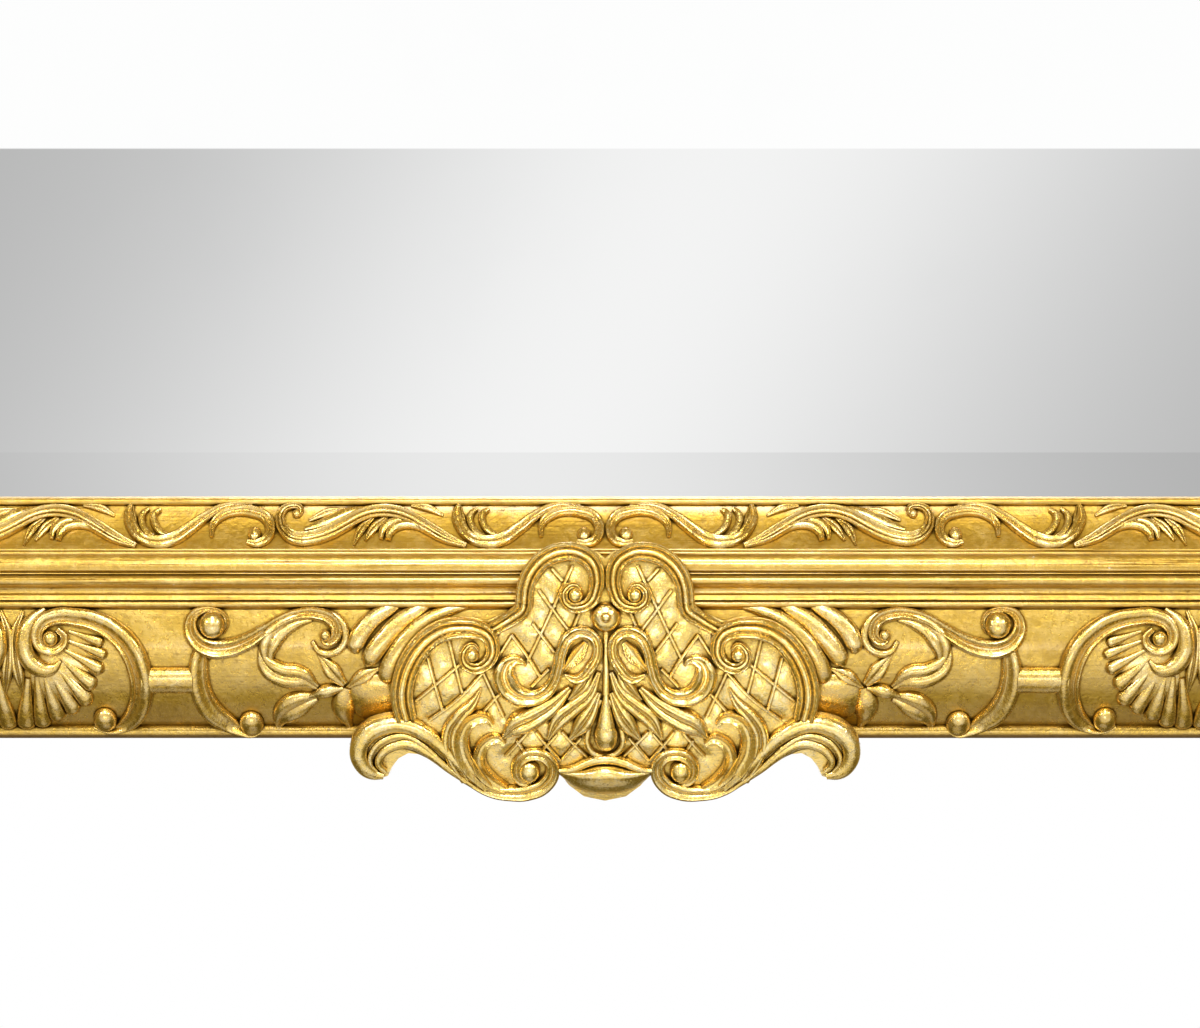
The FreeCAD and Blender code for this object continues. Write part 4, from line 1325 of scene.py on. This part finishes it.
    def bars(self, places: Iterable[Span]) -> list[Stroke]:
        """The straight bars between the scrolls.

        Args:
            places: Where each bar starts and ends.

        Returns:
            The bars of both halves.
        """
        widths = (self.bar_half, self.bar_half)
        paths = [((start, self.bar_y), (end, self.bar_y)) for start, end in places]
        return mirrored_strokes([Stroke(Section.LOBE, path, widths, self.bar_lift) for path in paths])

    def build(self, carver: Carver) -> list[bpy.types.Object]:
        """Carves the straps on all rails, and the shells on the long ones.

        Args:
            carver: The carver that cuts the strokes.

        Returns:
            One piece per rail.
        """
        shells = mirrored_strokes(mirrored_strokes(self.shell_half(), self.shell_axis))
        shell_bosses = mirrored_bosses(mirrored_bosses(self.shell_bosses, self.shell_axis))
        straps = mirrored_strokes(self.strap)
        balls = mirrored_bosses(self.strap_bosses)
        long_strokes = straps + shells + self.bars(self.long_bars)
        masters = {
            True: carver.carve(long_strokes, balls + shell_bosses, "strapwork_long"),
            False: carver.carve(straps + self.bars(self.short_bars), balls, "strapwork_short"),
        }
        for master in masters.values():
            tidy_mesh(master)
        pieces = []
        for side in Side:
            master = masters[side.is_long]
            piece = copy_of(master, f"{side.name.lower()}_strapwork_carved")
            place_vertices(piece, on_side(laid(coordinates(master), RAIL.swell), side))
            pieces.append(piece)
        for master in masters.values():
            bpy.data.objects.remove(master)
        return pieces


@dataclass
class Frieze(CarvedWork):
    """The running scroll carved in the hollow next to the glass."""

    period: float = 330.0
    repeats: int = 4
    corner_gap: float = 60.0
    strokes: tuple[Stroke, ...] = (
        Stroke(Section.RIDGE, ((633, 543), (622, 544.5), (613, 539), (610.5, 529), (616, 518), (629, 512.5),
                (645, 511.5), (659, 516), (668, 525), (669, 538)),
               (2, 3.5, 4.5, 5, 5.5, 5.5, 5, 4.5, 3.5, 1.5), 2.5),
        Stroke(Section.RIDGE, ((630, 506), (655, 506.5), (675, 517), (692, 530), (708, 540.5), (723, 543),
                (739, 539), (749, 528), (754, 514), (751, 502)),
               (1.5, 3.5, 5, 6, 6.3, 5.5, 5, 5.5, 4.5, 1), 2.5),
        Stroke(Section.ROUND, ((707, 539), (719, 534), (727, 525), (728, 515), (722, 510)),
               (2, 3.2, 3.6, 3.4, 2), 2.5),
        Stroke(Section.ROUND, ((721, 541), (733, 535), (739.5, 525), (739.5, 515), (734, 509.5)),
               (2, 3.4, 3.8, 3.5, 2), 2.5),
        Stroke(Section.LEAF, ((737, 540), (745, 531), (749, 518), (751, 505)), (2, 3.6, 3.8, 1), 1.5),
        Stroke(Section.BAND, ((744, 547), (765, 539), (785, 527.5), (804, 517), (820, 512.5), (836, 512.5),
                (851, 517), (866, 525.5), (881, 533.5), (897, 539), (912, 540), (924, 534.5), (931, 523),
                (929, 511.5), (920, 506.5), (911, 510), (914, 517)),
               (2, 5, 6, 6.2, 6.5, 6.5, 6.8, 7, 7, 6.5, 6.2, 5.6, 5, 4, 3.5, 3, 2), 2.5),
        Stroke(Section.ROUND, ((778, 536), (796, 526.5), (811, 526.5), (820, 533), (822, 541)),
               (2, 3.6, 4.2, 4, 2.5), 2.5),
        Stroke(Section.ROUND, ((800, 521), (817, 522), (827, 530), (829, 540)), (2, 4, 4.2, 2), 1.5),
        Stroke(Section.LEAF, ((824, 518), (836, 528), (845, 541)), (2, 4.5, 1.5), 1.5),
        Stroke(Section.LEAF, ((838, 519), (850, 531), (856, 546)), (2, 4.5, 1), 1.5),
        Stroke(Section.LOBE, ((838, 508), (860, 513), (882, 522), (906, 530)), (2, 5.5, 6, 2), 1.5),
        Stroke(Section.LEAF, ((866, 510), (884, 513), (902, 521)), (1.5, 4.5, 1.5), 1.5),
        Stroke(Section.LEAF, ((768, 516), (784, 508), (800, 506)), (1.5, 4, 1.5), 1.5),
    )
    bosses: tuple[Boss, ...] = (
        Boss((626, 535), (7, 7), 6, 1), Boss((915, 514), (4.5, 4.5), 4, 1),
    )
    corner_leaves: tuple[Trace, ...] = (
        ((-58, 522), (-26, 526), (8, 510)), ((-40, 534), (-8, 540), (26, 526)),
    )
    corner_widths: tuple[float, ...] = (2, 8, 2)

    def run(self, half_along: float) -> list[Stroke]:
        """The strokes from the rail's middle to the corner, where two leaves end them.

        Args:
            half_along: Half of the sight along the rail.

        Returns:
            The strokes of the right half.
        """
        end = AXIS_X + half_along / PIXEL
        made = []
        for index in range(self.repeats):
            for stroke in self.strokes:
                path = [(x + index * self.period, y) for x, y in stroke.path]
                if max(x for x, _ in path) < end - self.corner_gap:
                    made.append(replace(stroke, path=path))
        for leaf in self.corner_leaves:
            made.append(Stroke(Section.LEAF, [(end + x, y) for x, y in leaf], self.corner_widths))
        return made

    def balls(self, half_along: float) -> list[Boss]:
        """The balls in the volutes.

        Args:
            half_along: Half of the sight along the rail.

        Returns:
            The balls of the right half.
        """
        end = AXIS_X + half_along / PIXEL
        made = []
        for index in range(self.repeats):
            for boss in self.bosses:
                x, y = boss.centre[0] + index * self.period, boss.centre[1]
                if x < end - self.corner_gap:
                    made.append(replace(boss, centre=(x, y)))
        return made

    def build(self, carver: Carver) -> list[bpy.types.Object]:
        """Carves the frieze of each rail.

        Args:
            carver: The carver that cuts the strokes.

        Returns:
            One piece per rail.
        """
        pieces = []
        for side in Side:
            strokes = mirrored_strokes(self.run(RAIL.half_along(side)))
            bosses = mirrored_bosses(self.balls(RAIL.half_along(side)))
            piece = carver.carve(strokes, bosses, f"{side.name.lower()}_frieze_carved")
            tidy_mesh(piece)
            place_vertices(piece, on_side(laid(coordinates(piece), RAIL.frieze), side))
            pieces.append(piece)
        return pieces


@dataclass(frozen=True)
class Surroundings:
    """The world: white behind the mirror, a soft sheen in front of it for the plate to show."""

    least_ahead: float = 0.05
    sheen_base: float = 0.45
    sheen_rise: float = 0.46
    sheen_shift: float = 0.0225
    sheen_slant: float = 0.57
    sheen_half: float = 0.13
    slant_end: float = 0.2
    foot_band: Span = (0.03, 0.10)
    foot_fall: float = 0.08
    ceiling_band: Span = (0.0998, 0.1002)
    front_band: Span = (0.23, 0.28)
    front: float = 1.06
    front_fall: float = 0.12
    front_rise: Span = (-0.9, 0.1)
    drop_band: Span = (0.2, 1.2)
    drop_reach: float = 0.45
    room_band: Span = (0.7, 1.9)
    room: float = 0.29
    room_low: float = 0.16
    low_band: Span = (0.25, 0.8)
    room_high: float = 0.07
    high_band: Span = (0.3, 0.7)
    behind_band: Span = (0.7, 0.95)
    warm_band: Span = (0.15, 0.85)
    warm: Triple = (1, 0.77, 0.20)
    ambient: float = 0.22

    def plate_sheen(self, side: Socket, up: Socket) -> Socket:
        """The slanting sheen in the plate, under a white ceiling.

        Args:
            side: Sideways part of a direction, for one ahead.
            up: Upward part of it.

        Returns:
            How bright the direction is.
        """
        lean = up.most(0.0).math("MINIMUM", self.slant_end)
        off = (side + self.sheen_shift - lean * self.sheen_slant) / self.sheen_half
        sheen = self.sheen_base + (-(off * off)).math("EXPONENT") * self.sheen_rise
        sheen = sheen * (1 - (-up).between(*self.foot_band) * self.foot_fall)
        return sheen.toward(1.0, up.between(*self.ceiling_band))

    def build(self) -> None:
        """Makes the world."""
        world = bpy.data.worlds.new("studio")
        world.use_nodes = True
        bpy.context.scene.world = world
        nodes = Nodes(world.node_tree)
        heading = nodes.add("ShaderNodeTexCoord", {}, {}, "Generated")
        x, y, z = (nodes.part(heading, axis) for axis in range(3))
        ahead = (-y).most(self.least_ahead)
        side, up = x / ahead, z / ahead
        tilt = (side * side + up * up) ** 0.5
        front = tilt.between(*self.front_band)
        lit = self.front - up.between(*self.front_rise) * self.front_fall
        level = self.plate_sheen(side, up).toward(lit, front)
        room = self.room - (-z).between(*self.low_band) * self.room_low
        room = room + z.between(*self.high_band) * self.room_high
        drop = (-up).between(*self.drop_band)
        level = level.toward(room, (tilt - drop * self.drop_reach).between(*self.room_band))
        level = level.toward(1.0, y.between(*self.behind_band))
        rays = ("Is Camera Ray", "Is Glossy Ray", "Is Transmission Ray")
        seen, glossy, through = (nodes.add("ShaderNodeLightPath", {}, {}, ray) for ray in rays)
        warm = front * (1 - level.between(*self.warm_band)) * (1 - seen)
        tint = nodes.blend(warm, (1, 1, 1), self.warm)
        shiny = glossy.most(through)
        shown = level * shiny + (1 - shiny) * self.ambient
        strength = shown.toward(1.0, seen)
        shader = nodes.add("ShaderNodeBackground", {}, {"Color": tint, "Strength": strength})
        nodes.add("ShaderNodeOutputWorld", {}, {"Surface": shader})


@dataclass(frozen=True)
class Lamp:
    """A soft lamp: where it stands and points, its width and height, and its power in watts."""

    name: str
    place: Triple
    size: Span
    power: float
    target: Triple = (0, 0, -0.2)

    def build(self) -> None:
        """Hangs the lamp and points it."""
        deselect()
        bpy.ops.object.light_add(type="AREA", location=self.place)
        made = bpy.context.object
        made.name = self.name
        made.data.shape, made.data.energy = "RECTANGLE", self.power
        made.data.size, made.data.size_y = self.size
        aim = made.location.copy()
        aim.x, aim.y, aim.z = (end - start for start, end in zip(self.place, self.target))
        made.rotation_euler = aim.to_track_quat("-Z", "Y").to_euler()


@dataclass
class Studio:
    """Floor, light, white surroundings and the camera."""

    distance: float = 1.9
    focus_depth: float = 0.04
    camera_x: float = -0.0026
    camera_z: float = -0.3163
    frame_width: float = 0.624
    sensor: float = 36.0
    clip: Span = (0.05, 60.0)
    floor_z: float = -2.2
    floor_radius: float = 0.7
    floor_sides: int = 96
    floor_tones: tuple[Triple, Triple] = ((0.62, 0.60, 0.56), (0.68, 0.66, 0.62))
    lamps: tuple[Lamp, ...] = (
        Lamp("key", (0, -2.6, 2.6), (1.0, 0.7), 42),
        Lamp("flash", (0, -3.8, 1.42), (1.25, 0.45), 42),
        Lamp("wing", (-2.3, -2.6, 1.1), (0.6, 0.6), 24),
        Lamp("wing", (2.3, -2.6, 1.1), (0.6, 0.6), 24),
        Lamp("fill", (0, -3.4, -1.5), (1.4, 0.6), 11),
        Lamp("back", (0.4, 2.2, 1.4), (1.6, 1.6), 62, (0, 0, 0)),
    )

    def floor(self) -> None:
        """A plain pale floor below the mirror."""
        deselect()
        sides, radius = self.floor_sides, self.floor_radius
        bpy.ops.mesh.primitive_circle_add(vertices=sides, radius=radius, fill_type="NGON")
        made = bpy.context.object
        made.name = "floor"
        bpy.ops.object.mode_set(mode="EDIT")
        bpy.ops.transform.translate(value=(0, 0, self.floor_z))
        bpy.ops.object.mode_set(mode="OBJECT")
        material, nodes = new_material("pale_floor")
        tone = nodes.noise(nodes.place(), 3, 2)
        nodes.surface(Base_Color=nodes.blend(tone, *self.floor_tones), Roughness=0.7)
        made.data.materials.append(material)

    def camera(self) -> None:
        """The camera, square on to the middle of the bottom rail."""
        made = bpy.data.objects.new("camera", bpy.data.cameras.new("camera"))
        bpy.context.scene.collection.objects.link(made)
        made.location = (self.camera_x, -self.distance - self.focus_depth, self.camera_z)
        made.rotation_euler = (math.pi / 2, 0, 0)
        made.data.sensor_width = self.sensor
        made.data.lens = self.sensor * self.distance / self.frame_width
        made.data.clip_start, made.data.clip_end = self.clip
        bpy.context.scene.camera = made

    def build(self) -> None:
        """Sets the studio up."""
        bpy.context.scene.view_settings.view_transform = "Standard"
        self.camera()
        Surroundings().build()
        self.floor()
        for lamp in self.lamps:
            lamp.build()


def main() -> None:
    """Builds the studio, the finishes and the carving."""
    logging.basicConfig(level=logging.INFO, format="%(message)s")
    Studio().build()
    finishing = Finishing()
    finishing.solids()
    carver = Carver()
    for work in (Cartouche(), Strapwork(), Frieze()):
        pieces = work.build(carver)
        work.dress(pieces, finishing)
        for piece in pieces:
            LOG.info("%s: %d faces", piece.name, len(piece.data.polygons))
    carver.clear()


if __name__ == "__main__":
    main()
